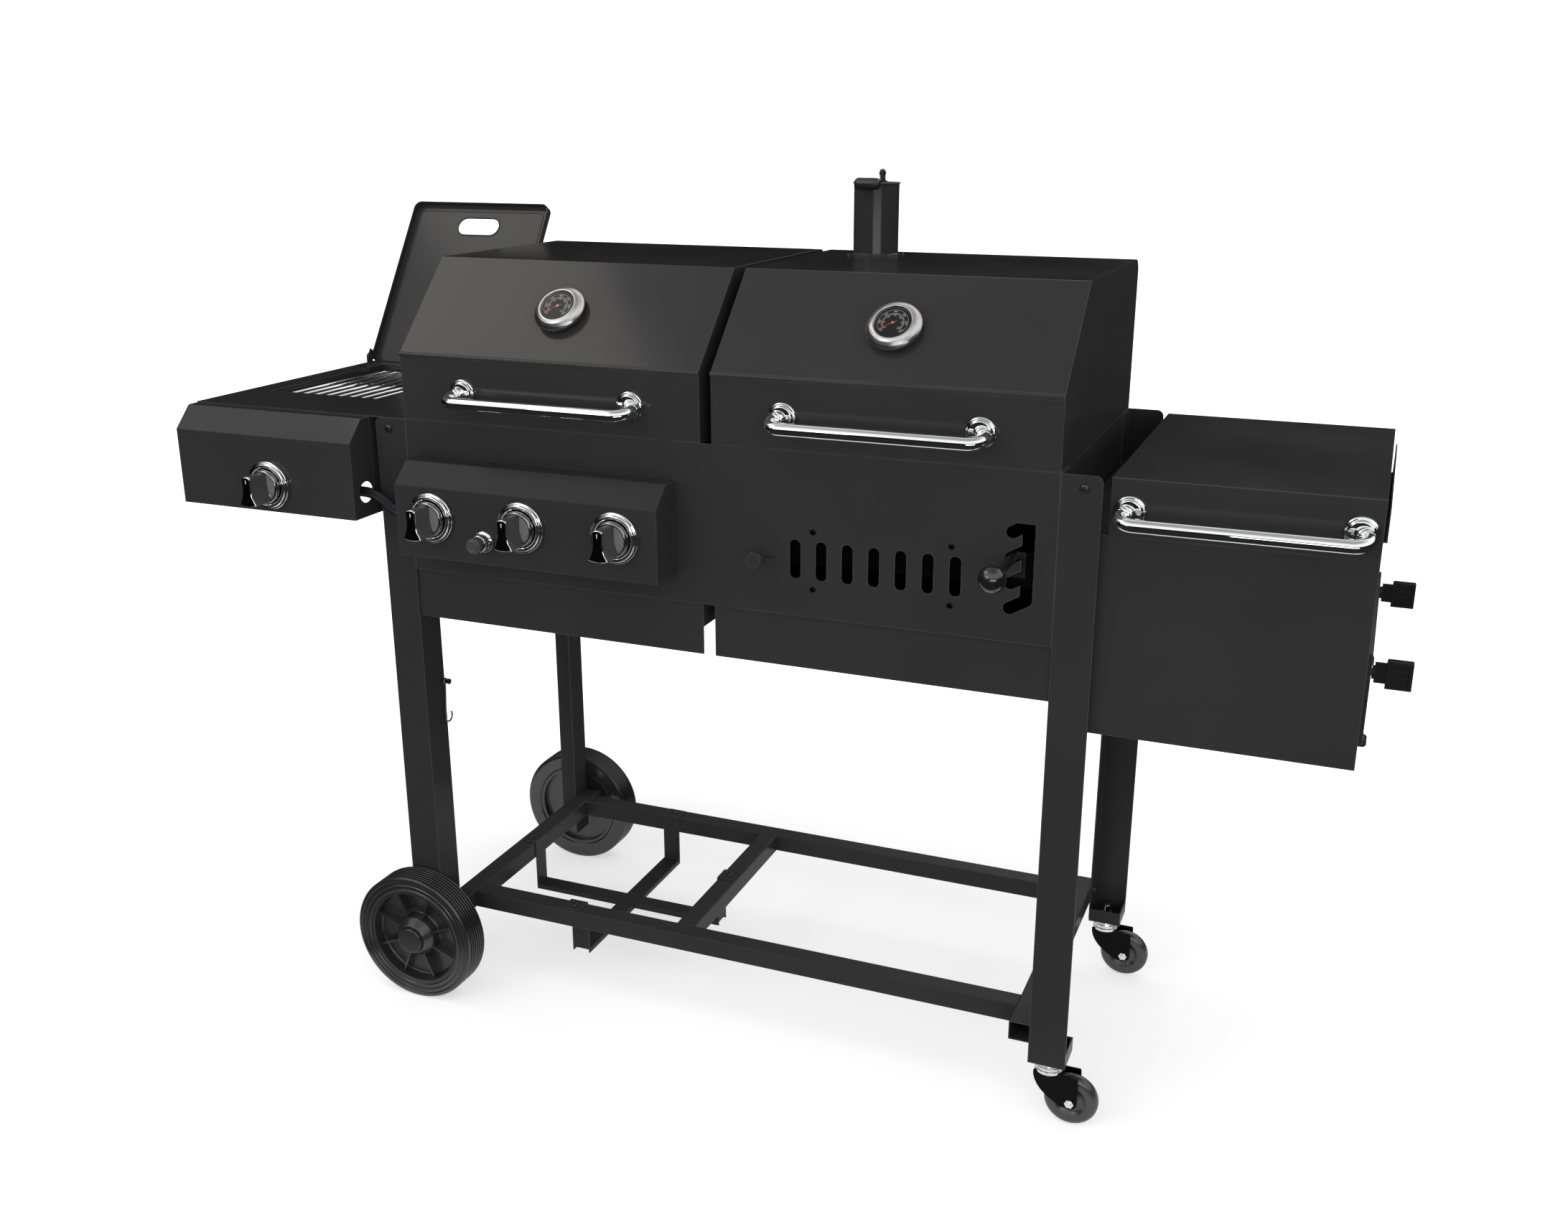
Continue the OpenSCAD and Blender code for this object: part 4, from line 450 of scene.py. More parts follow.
def softened(points, radius, steps=3, closed=False):
    out = []
    last = len(points) - 1
    for i, point in enumerate(points):
        if not closed and i in (0, last):
            out.append(Vector(point))
            continue
        here, before, after = Vector(point), Vector(points[i - 1]), Vector(points[(i + 1) % len(points)])
        a = (before - here) * min(0.46, radius / max((before - here).length, 1e-6))
        b = (after - here) * min(0.46, radius / max((after - here).length, 1e-6))
        for k in range(steps + 1):
            t = k / steps
            out.append(here + a * (1 - t) ** 2 + b * t ** 2)
    return out


def spin(bm, profile, place, steps=64, mat=0, loop=False, round=0.0):
    uv = bm.loops.layers.uv.active
    points = softened(profile, round, 3, loop) if round else [Vector(p) for p in profile]
    rings, walk, run = [], 0.0, []
    for i, (radius, rise) in enumerate(points):
        walk += (points[i] - points[i - 1]).length if i else 0.0
        run.append(walk / 100)
        if radius < 1e-6:
            rings.append([bm.verts.new(place @ Vector((0, 0, rise)))])
        else:
            turns = [2 * pi * k / steps for k in range(steps)]
            rings.append([bm.verts.new(place @ Vector((radius * cos(t), radius * sin(t), rise))) for t in turns])
    pairs = [(i, i + 1) for i in range(len(rings) - 1)] + ([(len(rings) - 1, 0)] if loop else [])
    for i, j in pairs:
        a, b = rings[i], rings[j]
        if len(a) == 1 and len(b) == 1:
            continue
        for k in range(steps):
            m = (k + 1) % steps
            corners = [(a[k % len(a)], k, run[i]), (a[m % len(a)], k + 1, run[i]),
                       (b[m % len(b)], k + 1, run[j]), (b[k % len(b)], k, run[j])]
            kept = []
            for corner in corners:
                if corner[0] not in [c[0] for c in kept]:
                    kept.append(corner)
            face = bm.faces.new([c[0] for c in kept])
            face.material_index = mat
            for vertexLoop, c in zip(face.loops, kept):
                vertexLoop[uv].uv = (c[1] / steps, c[2])


def bar(bm, path, radius, place, sides=16, mat=0, loop=False):
    uv = bm.loops.layers.uv.active
    points = [Vector(p) for p in path]
    count = len(points)
    heading = (points[1] - points[0]).normalized()
    side = heading.orthogonal().normalized()
    rings, run, walk = [], [], 0.0
    for i, point in enumerate(points):
        ahead = points[(i + 1) % count] if (loop or i < count - 1) else point
        behind = points[i - 1] if (loop or i) else point
        tangent = (ahead - behind).normalized()
        side = (side - tangent * side.dot(tangent)).normalized()
        over = tangent.cross(side)
        walk += (points[i] - points[i - 1]).length if i else 0.0
        run.append(walk / 100)
        rings.append([bm.verts.new(place @ (point + (side * cos(2 * pi * k / sides) + over * sin(2 * pi * k / sides)) * radius))
                      for k in range(sides)])
    for i in range(count if loop else count - 1):
        j = (i + 1) % count
        for k in range(sides):
            m = (k + 1) % sides
            face = bm.faces.new((rings[i][k], rings[i][m], rings[j][m], rings[j][k]))
            face.material_index = mat
            corners = ((k, run[i]), (k + 1, run[i]), (k + 1, run[j]), (k, run[j]))
            for vertexLoop, (u, v) in zip(face.loops, corners):
                vertexLoop[uv].uv = (u / sides, v)
    if not loop:
        for ring in (rings[0], rings[-1]):
            bm.faces.new(ring).material_index = mat


def slab(bm, low, high, place, mat=0):
    corner = [bm.verts.new(place @ Vector((x, y, z)))
              for z in (low[2], high[2]) for y in (low[1], high[1]) for x in (low[0], high[0])]
    for quad in ((0, 2, 3, 1), (4, 5, 7, 6), (0, 1, 5, 4), (2, 6, 7, 3), (0, 4, 6, 2), (1, 3, 7, 5)):
        bm.faces.new([corner[i] for i in quad]).material_index = mat


def plate(bm, outline, low, high, place, mat=0):
    bottom = [bm.verts.new(place @ Vector((x, y, low))) for x, y in outline]
    top = [bm.verts.new(place @ Vector((x, y, high))) for x, y in outline]
    count = len(outline)
    sides = [[bottom[i], bottom[(i + 1) % count], top[(i + 1) % count], top[i]] for i in range(count)]
    for face in [bottom[::-1], top] + sides:
        bm.faces.new(face).material_index = mat


def arc(cx, cy, radius, start, end, steps=8):
    turns = [radians(start + (end - start) * k / steps) for k in range(steps + 1)]
    return [(cx + radius * cos(t), cy + radius * sin(t)) for t in turns]


def hexagon(radius):  # a nut's outline
    return arc(0, 0, radius, 0, 300, 5)


def label(bm, text, size, place, mat=0):
    words = bpy.data.curves.new("label", "FONT")
    words.body, words.size, words.align_x, words.align_y = text, size, "CENTER", "CENTER"
    words.extrude, words.resolution_u = 0.04, 2
    holder = bpy.data.objects.new("label", words)
    scene.collection.objects.link(holder)
    mesh = bpy.data.meshes.new_from_object(holder.evaluated_get(bpy.context.evaluated_depsgraph_get()))
    mesh.transform(place)
    before = set(bm.faces)
    bm.from_mesh(mesh)
    for face in set(bm.faces) - before:
        face.material_index = mat
    bpy.data.objects.remove(holder)
    bpy.data.meshes.remove(mesh)


made = []


def smoothed(mesh, sharp):
    mesh.polygons.foreach_set("use_smooth", [True] * len(mesh.polygons))
    mesh.set_sharp_from_angle(angle=radians(sharp))


def settle(name, mesh, node, slotName, mats=None, stands=False, bevel=0.0, sharp=33):
    # rides with the node's body; a piece that stands for the node replaces it
    holder = bpy.data.objects.new(name, mesh)
    scene.collection.objects.link(holder)
    for key in mats or [slotName]:
        mesh.materials.append(finishes[key])
    smoothed(mesh, sharp)
    if bevel:
        cut = holder.modifiers.new("softEdges", "BEVEL")
        cut.width, cut.segments, cut.limit_method, cut.angle_limit = bevel / 1000, 2, "ANGLE", radians(sharp)
        cut.harden_normals = True
    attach(holder, bodyOf[node])
    if stands:
        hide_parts(node)
    made.append(holder)
    return holder


def piece(name, bm, node, slotName, mats=None, stands=True, bevel=0.0, sharp=33, clean=True):
    bmesh.ops.remove_doubles(bm, verts=bm.verts, dist=2e-6)
    if clean:
        bmesh.ops.recalc_face_normals(bm, faces=bm.faces)
    mesh = bpy.data.meshes.new(name)
    bm.to_mesh(mesh)
    bm.free()
    return settle(name, mesh, node, slotName, mats, stands, bevel, sharp)


def folded(node, name, finish, slotName, width, segments, square=2.0):
    # a merged copy with rolled edges: full width on folds, less on square corners and the sheet's thin rims
    bm = bmesh.new()
    bm.from_mesh(nodes[node].data)
    bmesh.ops.remove_doubles(bm, verts=bm.verts, dist=1e-5)
    bmesh.ops.dissolve_limit(bm, angle_limit=radians(0.6), verts=bm.verts, edges=bm.edges)
    weight = bm.edges.layers.float.get("bevel_weight_edge") or bm.edges.layers.float.new("bevel_weight_edge")
    for edge in bm.edges:
        edge[weight] = 0.0
        if len(edge.link_faces) == 2 and edge.calc_face_angle(0.0) > radians(24):
            room = min(2 * face.calc_area() / face.calc_perimeter() for face in edge.link_faces)
            reach = width if edge.calc_face_angle(0.0) < radians(62) else min(width, square)
            edge[weight] = min(reach, 0.38 * room * 1000) / width
    mesh = bpy.data.meshes.new(name)
    bm.to_mesh(mesh)
    bm.free()
    if "custom_normal" in mesh.attributes:
        mesh.attributes.remove(mesh.attributes["custom_normal"])
    copy = settle(name, mesh, node, slotName, [finish], True, sharp=24)
    cut = copy.modifiers.new("rolledEdges", "BEVEL")
    cut.width, cut.segments, cut.limit_method, cut.harden_normals = width / 1000, segments, "WEIGHT", True


# ---- node trees for what repeats
def newTree(name, ins):
    ins = [("Geometry", "NodeSocketGeometry", None), ("Part", "NodeSocketObject", None), *ins,
           ("Finish", "NodeSocketMaterial", None)]
    return newGroup(name, "GeometryNodeTree", ins, [("Geometry", "NodeSocketGeometry")])


def closeTree(tree, enter, leave, points, turn=None):
    part = add(tree, "GeometryNodeObjectInfo", {"Object": enter["Part"]}).outputs["Geometry"]
    put = {"Points": points, "Instance": part}
    if turn:
        put["Rotation"] = turn
    copies = add(tree, "GeometryNodeInstanceOnPoints", put).outputs[0]
    real = add(tree, "GeometryNodeRealizeInstances", {0: copies}).outputs[0]
    painted = add(tree, "GeometryNodeSetMaterial", {"Geometry": real, "Material": enter["Finish"]}).outputs[0]
    tree.links.new(painted, leave["Geometry"])
    return tree


def ringTree():  # copies of one part round a circle
    tree, enter, leave = newTree("ringOfParts", [
        ("Count", "NodeSocketInt", 8), ("Radius", "NodeSocketFloat", 10.0),
        ("Start", "NodeSocketFloat", 0.0), ("Sweep", "NodeSocketFloat", 2 * pi)])
    index = add(tree, "GeometryNodeInputIndex").outputs[0]
    share = sums(tree, "DIVIDE", index, enter["Count"])
    angle = sums(tree, "ADD", sums(tree, "MULTIPLY", share, enter["Sweep"]), enter["Start"])
    x = sums(tree, "MULTIPLY", sums(tree, "COSINE", angle), enter["Radius"])
    y = sums(tree, "MULTIPLY", sums(tree, "SINE", angle), enter["Radius"])
    where = add(tree, "ShaderNodeCombineXYZ", {0: x, 1: y}).outputs[0]
    line = add(tree, "GeometryNodeMeshLine", {"Count": enter["Count"]}).outputs[0]
    points = add(tree, "GeometryNodeSetPosition", {"Geometry": line, "Position": where}).outputs[0]
    turn = add(tree, "ShaderNodeCombineXYZ", {2: angle}).outputs[0]
    return closeTree(tree, enter, leave, points, turn)


def rowTree():  # copies of one part in a straight row
    tree, enter, leave = newTree("rowOfParts", [
        ("Count", "NodeSocketInt", 8), ("First", "NodeSocketVector", (0, 0, 0)), ("Step", "NodeSocketVector", (10, 0, 0))])
    line = {"Count": enter["Count"], "Start Location": enter["First"], "Offset": enter["Step"]}
    points = add(tree, "GeometryNodeMeshLine", line).outputs[0]
    return closeTree(tree, enter, leave, points)


def pointTree():  # copies of one part on given points, each turned along its point's facing
    tree, enter, leave = newTree("partsOnPoints", [])
    facing = add(tree, "GeometryNodeInputNamedAttribute", {"Name": "facing"}, data_type="FLOAT_VECTOR")
    turn = add(tree, "FunctionNodeAlignRotationToVector", {"Vector": facing.outputs[0]}, axis="Z").outputs[0]
    return closeTree(tree, enter, leave, enter["Geometry"], turn)


trees = {"ring": ringTree(), "row": rowTree(), "point": pointTree()}


def partOf(bm, sharp=33):
    bmesh.ops.recalc_face_normals(bm, faces=bm.faces)
    mesh = bpy.data.meshes.new("part")
    bm.to_mesh(mesh)
    bm.free()
    smoothed(mesh, sharp)
    part = bpy.data.objects.new("part", mesh)
    scene.collection.objects.link(part)
    return part


def grow(kind, part, values, finish, places=(onBench,), host=None):
    # runs a tree once, then sets its mesh down at each place; returns one joined mesh
    mesh = host or bpy.data.meshes.new("host")
    holder = bpy.data.objects.new("host", mesh)
    scene.collection.objects.link(holder)
    layout = holder.modifiers.new("layout", "NODES")
    layout.node_group = trees[kind]
    ids = {item.name: item.identifier for item in trees[kind].interface.items_tree if item.in_out == "INPUT"}
    for label, value in {**values, "Part": part, "Finish": finishes[finish]}.items():
        layout[ids[label]] = value
    bpy.context.view_layer.update()
    graph = bpy.context.evaluated_depsgraph_get()
    live = holder.evaluated_get(graph)
    grown = bpy.data.meshes.new_from_object(live, preserve_all_data_layers=True, depsgraph=graph)
    holder.modifiers.remove(layout)
    bpy.data.objects.remove(holder)
    bm = bmesh.new()
    for place in places:
        copy = grown.copy()
        copy.transform(place)
        bm.from_mesh(copy)
        bpy.data.meshes.remove(copy)
    out = bpy.data.meshes.new("grown")
    bm.to_mesh(out)
    bm.free()
    bpy.data.objects.remove(part)
    return out


def screwPoints(rows):
    mesh = bpy.data.meshes.new("screwPoints")
    mesh.from_pydata([row[0] for row in rows], [], [])
    facing = mesh.attributes.new("facing", "FLOAT_VECTOR", "POINT")
    for i, row in enumerate(rows):
        facing.data[i].vector = row[1]
    return mesh


# ---- sheet metal, legs and rails
sheetWork = [  # node, piece name, finish, width of a rolled edge in mm
    ("gas_lid", "gasLidShell", "enamel", 8.0), ("charcoal_lid", "charcoalLidShell", "enamel", 8.0),
    ("firebox_lid", "fireboxLidShell", "enamel", 1.8), ("offset_firebox", "offsetFireboxShell", "enamel", 1.8),
    ("gas_firebox", "gasFireboxShell", "enamel", 1.2), ("charcoal_firebox", "charcoalFireboxShell", "enamel", 1.2),
    ("front_panel", "frontPanelSheet", "enamel", 0.9), ("control_box", "controlBoxShell", "boxEnamel", 1.6),
    ("side_tray", "sideTraySheet", "enamel", 1.6), ("side_fascia", "sideFasciaShell", "enamel", 1.6),
    ("side_lid", "sideLidShell", "enamel", 1.4), ("vent_damper", "ventDamperPlate", "enamel", 0.8),
    ("ash_door", "ashDoorPlate", "enamel", 1.4),
    ("front_left_leg", "frontLeftLegAngle", "frame_paint", 1.4), ("back_left_leg", "backLeftLegAngle", "frame_paint", 1.4),
    ("front_right_leg", "frontRightLegAngle", "frame_paint", 1.4), ("back_right_leg", "backRightLegAngle", "frame_paint", 1.4),
    ("cross_rails", "crossRailTubes", "frame_paint", 1.8), ("side_rails", "sideRailTubes", "frame_paint", 1.8),
    ("tank_cradle", "bottleCradleStraps", "frame_paint", 1.2), ("lid_hinges", "lidHingeLeaves", "blackZinc", 0.8),
    ("charcoal_tray", "charcoalTrayPan", "tray", 1.2), ("grease_tray", "greaseTrayPan", "drip", 1.0),
    ("heat_plates", "heatPlateTents", "burner", 1.0), ("gas_manifold", "gasManifoldPipe", "brass", 0.8),
]
slotOf = {"blackZinc": "zinc", "boxEnamel": "enamel"}
for node, name, finish, width in sheetWork:
    folded(node, name, finish, slotOf.get(finish, finish), width, 5 if width > 3 else 2)

lidWork = {"half": 146.0, "far": 326.0, "inset": 13.0, "corner": 9.0, "near": 26.0, "face": 14.4, "bead": 0.9,
           "slotHalf": 27.0, "slotAt": -282.0, "slotRadius": 17.9, "lip": 1.5, "open": 123.0}  # as the lid lies closed


def sideLidPressings():  # the pressed border inside the rim, and the rolled lip of the hand slot
    w = lidWork
    joints = {joint["name"]: joint for joint in frame["record"]["behaviour"]["joints"]}
    opened = Matrix.Rotation(radians(-w["open"]), 4, "X") @ Matrix.Scale(0.001, 4)
    place = Matrix.Translation(joints["side_lid_hinge"]["pos_m"]) @ opened
    x, y, c = w["half"] - w["inset"], w["inset"] - w["far"], w["corner"]
    border = [(-x, -w["near"])] + arc(-x + c, y + c, c, 180, 270) + arc(x - c, y + c, c, 270, 360) + [(x, -w["near"])]
    half, mid, r = w["slotHalf"], w["slotAt"], w["slotRadius"]
    lip = arc(half, mid, r, -90, 90, 16) + arc(-half, mid, r, 90, 270, 16)
    bm = newWork()
    bar(bm, [(u, v, w["face"]) for u, v in border], w["bead"], place, 12)
    bar(bm, [(u, v, w["face"]) for u, v in lip], w["lip"], place, 12, loop=True)
    piece("sideLidPressings", bm, "side_lid", "enamel", stands=False, sharp=50)


sideLidPressings()
print("sheet metal, legs and rails laid out")


# ---- handles
handleWork = {"foot": 138.5, "tube": 9.5, "out": 42.0, "bend": 20.0, "lean": 30.0, "tilt": 12.0, "sink": 1.5,
              "dish": [(0, 0), (21, 0), (21, 3.6), (19.4, 5.2), (17.6, 5.2), (16.6, 6.6), (16.4, 8.2), (15.2, 9.4), (0, 9.4)],
              "collar": [(0, 4), (12.9, 4), (12.9, 11.6), (12.2, 12.6), (11.6, 12.9), (11.6, 15.4), (10.6, 16.6), (0, 16.6)]}


def bailHandle(name, node):
    h = handleWork
    centre, low, high = middle(node)
    place = spot(centre.x, high.y, high.z - h["dish"][1][0])
    lean, tilt, bend = radians(h["lean"]), radians(h["tilt"]), h["bend"]
    leg = (h["out"] - bend * (1 + sin(lean))) / cos(lean)
    u0, v0 = h["foot"] + leg * sin(lean) - bend * cos(lean), leg * cos(lean) + bend * sin(lean)
    half = [(h["foot"] - h["sink"] * sin(lean), -h["sink"] * cos(lean))]
    half += [(u0 + bend * cos(a), v0 + bend * sin(a)) for a in [-lean + (pi / 2 + lean) * k / 18 for k in range(19)]]
    path = [(u, -v * cos(tilt), -v * sin(tilt)) for u, v in [(-u, v) for u, v in half] + half[::-1]]
    bm = newWork()
    bar(bm, path, h["tube"], place, 40)
    for side in (-1, 1):
        foot = place @ moved(side * h["foot"], 0, 0)
        spin(bm, h["dish"], foot @ toFront, 56, round=0.7)
        legTurn = Matrix.Rotation(side * lean * 0.98, 4, "Z") @ Matrix.Rotation(pi / 2 + tilt, 4, "X")
        spin(bm, h["collar"], foot @ legTurn, 48, round=0.5)
    piece(name, bm, node, "chrome", sharp=40)


bailHandle("gasLidHandle", "gas_lid_handle")
bailHandle("charcoalLidHandle", "charcoal_lid_handle")
bailHandle("fireboxLidHandle", "firebox_handle")
print("handles bent")


# ---- thermometers
gaugeWork = {
    "slope": 45.63, "up": 86.0, "front": 100.0,  # where it sits on the lid's slope
    "low": 100, "high": 700, "lowInner": 40, "stepInner": 55,  # the two scales
    "startDeg": 222.0, "sweepDeg": -264.0, "needleDeg": 210.0, "face": 16.9, "arcs": ((15.1, 15.5), (20.9, 21.2)),
    "rim": [(24.6, 16.6), (25.6, 16.8), (25.9, 19.2), (27.0, 20.0), (28.6, 19.8), (32.6, 17.9), (36.6, 14.6), (39.0, 11.6),
            (39.5, 9.8), (39.2, 8.0), (38.2, 7.2), (30, 7.2), (24.6, 9)],
    "back": [(0, 0.05), (31.5, 0.05), (31.5, 3.6), (34.6, 4.6), (37.4, 5.2), (37.8, 7.4), (0, 7.4)],
    "stem": [(0, -52), (2.4, -52), (3.4, -49), (3.4, 0.1), (0, 0.1)],
    "needle": [(-5.5, -0.9), (-5.5, 0.9), (0, 1.25), (19.5, 0.35), (19.5, -0.35), (0, -1.25)],
    "boss": [(0, 16.8), (1.7, 16.8), (1.7, 17.8), (1.0, 18.1), (0, 18.1)],
    "glass": [(0, 18.3), (25.7, 18.3), (25.7, 18.8), (14, 19.25), (0, 19.4)],
}


def thermometer(name, node):
    g = gaugeWork
    slope, start, sweep, face = radians(g["slope"]), g["startDeg"], g["sweepDeg"], g["face"]
    lie = Matrix.Rotation(slope, 4, "X")
    place = spot(middle(node)[0].x, g["up"] * cos(slope), deck + g["front"] + g["up"] * sin(slope), lie)
    bm = newWork()
    spin(bm, g["rim"], place, 112, loop=True, round=0.7)
    spin(bm, g["back"], place, 96, 1, round=0.5)
    spin(bm, [(0, 12), (25.2, 12), (25.2, face), (0, face)], place, 64, 2)
    spin(bm, g["stem"], place, 20)
    plate(bm, hexagon(8.2), -7, -2, place, 1)  # nut behind the lid
    for inner, outer in g["arcs"]:
        line = arc(0, 0, outer, start, start + sweep, 60) + arc(0, 0, inner, start + sweep, start, 60)
        plate(bm, line, face - 0.05, face + 0.06, place, 3)
    steps = (g["high"] - g["low"]) // 100
    for i in range(steps + 1):
        angle = radians(start + sweep * i / steps)
        upright = Matrix.Rotation(angle - pi / 2, 4, "Z")
        for reach, number, size in ((18.3, g["low"] + 100 * i, 4.1), (11.9, g["lowInner"] + g["stepInner"] * i, 2.9)):
            label(bm, str(number), size, place @ moved(reach * cos(angle), reach * sin(angle), face + 0.03) @ upright, 3)
    plate(bm, g["needle"], 17.25, 17.5, place @ Matrix.Rotation(radians(g["needleDeg"]), 4, "Z"), 4)
    spin(bm, g["boss"], place, 20, round=0.2)
    piece(name, bm, node, "gauge_steel", ["gauge_steel", "blackZinc", "dial", "ink", "needle"], sharp=36)
    tick = newWork()
    slab(tick, (-0.9, -0.13, 0), (0.9, 0.13, 0.11), unturned)
    ring = {"Count": steps * 10 + 1, "Radius": 14.3, "Start": radians(start), "Sweep": radians(sweep) * (1 + 1 / (steps * 10))}
    ticks = grow("ring", partOf(tick), ring, "ink", [place @ moved(0, 0, face - 0.04)])
    settle(name + "Ticks", ticks, node, "gauge_steel", ["ink"])
    pane = newWork()
    spin(pane, g["glass"], place, 64)
    piece(name + "Glass", pane, node, "gauge_steel", ["glass"], stands=False)


thermometer("gasThermometer", "gas_thermometer")
thermometer("charcoalThermometer", "charcoal_thermometer")
print("thermometers assembled")


# ---- knobs, bezels and igniter
knobWork = {
    "proud": 54.0, "waist": 7.5, "waistAt": 5.0, "foot": 6.6, "head": 1.4, "reach": 23.8,
    "skirt": [(0, -24), (4, -24), (4, 1), (26.4, 1), (26.9, 3.5), (26.9, 13.0), (26.0, 16.6), (24.2, 18.6), (22.4, 18.0),
              (21.4, 15.8), (21.2, 14.2)],
    "levels": [(14.0, 0.95, -1.8, 3), (15.0, 0.955, -2.3, 3), (16.2, 0.96, -2.8, 2), (20.0, 0.98, -3.0, 2),
               (26.0, 1.0, -2.7, 2), (36.0, 1.0, -1.8, 2), (45.0, 1.0, -0.8, 2), (51.6, 0.985, 0.0, 2), (52.4, 0.98, 0.0, 3),
               (53.3, 0.96, -0.35, 3), (53.8, 0.935, -1.0, 3), (54.0, 0.915, -1.6, 0)],  # rise, share, extra width, finish
}


def gripHalf(y, reach):
    k = knobWork
    t = (y - k["waistAt"]) / reach
    return k["waist"] + (k["head"] if t > 0 else k["foot"]) * t * t  # flares to the foot, a little to the head


def knobPlace(node):
    centre, low, high = middle(node)
    return spot(centre.x, low.y + knobWork["proud"], centre.z, toFront)


def burnerKnob(name, node):
    k = knobWork
    place = knobPlace(node)
    bm = newWork()
    spin(bm, k["skirt"], place, 72, 5, round=1.2)
    # the recess face takes the lightened grey, painted light against the recess's shade
    spin(bm, [(21.3, 14.2), (0, 14.2)], place, 72, 1)
    rings, sides = [], 16
    for rise, share, extra, _ in k["levels"]:
        reach = k["reach"] * share
        flat = 0.9 * reach
        edge = [(gripHalf(y, k["reach"]) + extra, y) for y in [-flat + 2 * flat * j / sides for j in range(sides + 1)]]
        top = [(edge[-1][0] * t, flat + 0.1 * reach * (1 - t * t)) for t in (0.8, 0.4, 0, -0.4, -0.8)]
        foot = [(edge[0][0] * t, -flat - 0.1 * reach * (1 - t * t)) for t in (-0.8, -0.4, 0, 0.4, 0.8)]
        outline = edge + top + [(-x, y) for x, y in edge[::-1]] + foot
        rings.append([bm.verts.new(place @ Vector((x, y, rise))) for x, y in outline])
    for lower, upper, level in zip(rings, rings[1:], k["levels"][1:]):
        for j in range(len(lower)):
            m = (j + 1) % len(lower)
            bm.faces.new((lower[j], lower[m], upper[m], upper[j])).material_index = level[3]
    bm.faces.new(rings[-1]).material_index = 0
    slab(bm, (-0.6, 12.6, 53.7), (0.6, 18.4, 54.08), place, 4)  # pointer line
    piece(name, bm, node, "knob", ["knob", "knobFaceWithPaintedLight", "knobSide", "chrome", "ink", "knobRim"], sharp=38)


knobNodes = {"left": "left_knob", "middle": "middle_knob", "right": "right_knob", "side": "side_knob"}
for which, node in knobNodes.items():
    burnerKnob(which + "BurnerKnob", node)

bezelWork = {
    "ribs": 84, "flutes": 18,
    "bezel": [(28.6, 0), (37, 0), (38, 1.0), (38, 5.4), (37.2, 6.8), (35.4, 7.4), (34.6, 7.8), (34.4, 8.8), (33.4, 10.4),
              (31.6, 11), (30.4, 10.5), (30.1, 9.5), (28.6, 9.5)],
    "nut": [(10.2, -16), (12, -16), (12, 0), (16.5, 0), (16.5, 2.2), (15.6, 4.2), (13.2, 5.6), (12.4, 5.9), (12.4, 16.2),
            (11.6, 17.4), (10.2, 17.4)],
    "flute": [(0, 0), (1.15, 0), (1.15, 9.2), (0.6, 10.2), (0, 10.2)],
    "button": [(0, -8), (9.8, -8), (9.8, 22), (11.9, 22.4), (11.9, 29.6), (10.9, 31.6), (9.6, 32.0), (9.4, 34.2), (8.4, 35.0),
               (7.2, 34.8), (6.2, 33.9), (0, 33.7)],
}


def bezelsAndIgniter():
    w = bezelWork
    knobPlaces = [knobPlace(node) for node in knobNodes.values()]
    centre, low, high = middle("igniter_button")
    place = spot(centre.x, low.y + w["button"][8][1], centre.z, toFront)
    bm = newWork()
    for knob in knobPlaces:
        spin(bm, w["bezel"], knob, 96, loop=True, round=0.5)
    spin(bm, w["nut"], place, 72, loop=True, round=0.4)
    piece("knobBezels", bm, "knob_bezels", "chrome", sharp=36)
    rib = newWork()
    slab(rib, (-0.75, -0.42, 0), (0.75, 0.42, 1.1), unturned)
    faces = [knob @ moved(0, 0, 9.4) for knob in knobPlaces]
    knurl = grow("ring", partOf(rib), {"Count": w["ribs"], "Radius": 29.4}, "chrome", faces)
    settle("bezelKnurl", knurl, "knob_bezels", "chrome")
    flute = newWork()
    spin(flute, w["flute"], unturned, 10)
    flutes = grow("ring", partOf(flute), {"Count": w["flutes"], "Radius": 12.5}, "chrome", [place @ moved(0, 0, 6.2)])
    settle("igniterFlutes", flutes, "knob_bezels", "chrome")
    bm = newWork()
    spin(bm, w["button"], place, 64, round=0.5)
    piece("igniterCap", bm, "igniter_button", "knob", ["knobSide"], sharp=30)


bezelsAndIgniter()
print("knobs and igniter fitted")


# ---- wheels
tyreLow, tyreHigh = middle("front_wheel_tyre")[1:]
wheelWork = {"radius": (tyreHigh.z - tyreLow.z) / 2, "wide": tyreHigh.y - tyreLow.y, "wall": 29.0, "grooves": 7, "depth": 4.0,
             "shoulder": 4.5, "ribs": 8, "cap": 11.0}
wheelWork["rim"] = wheelWork["radius"] - wheelWork["wall"]


def wheelPlace(node, back):
    centre, low, high = middle(node)
    return spot(centre.x, low.y if back else high.y, centre.z, toBack if back else toFront)


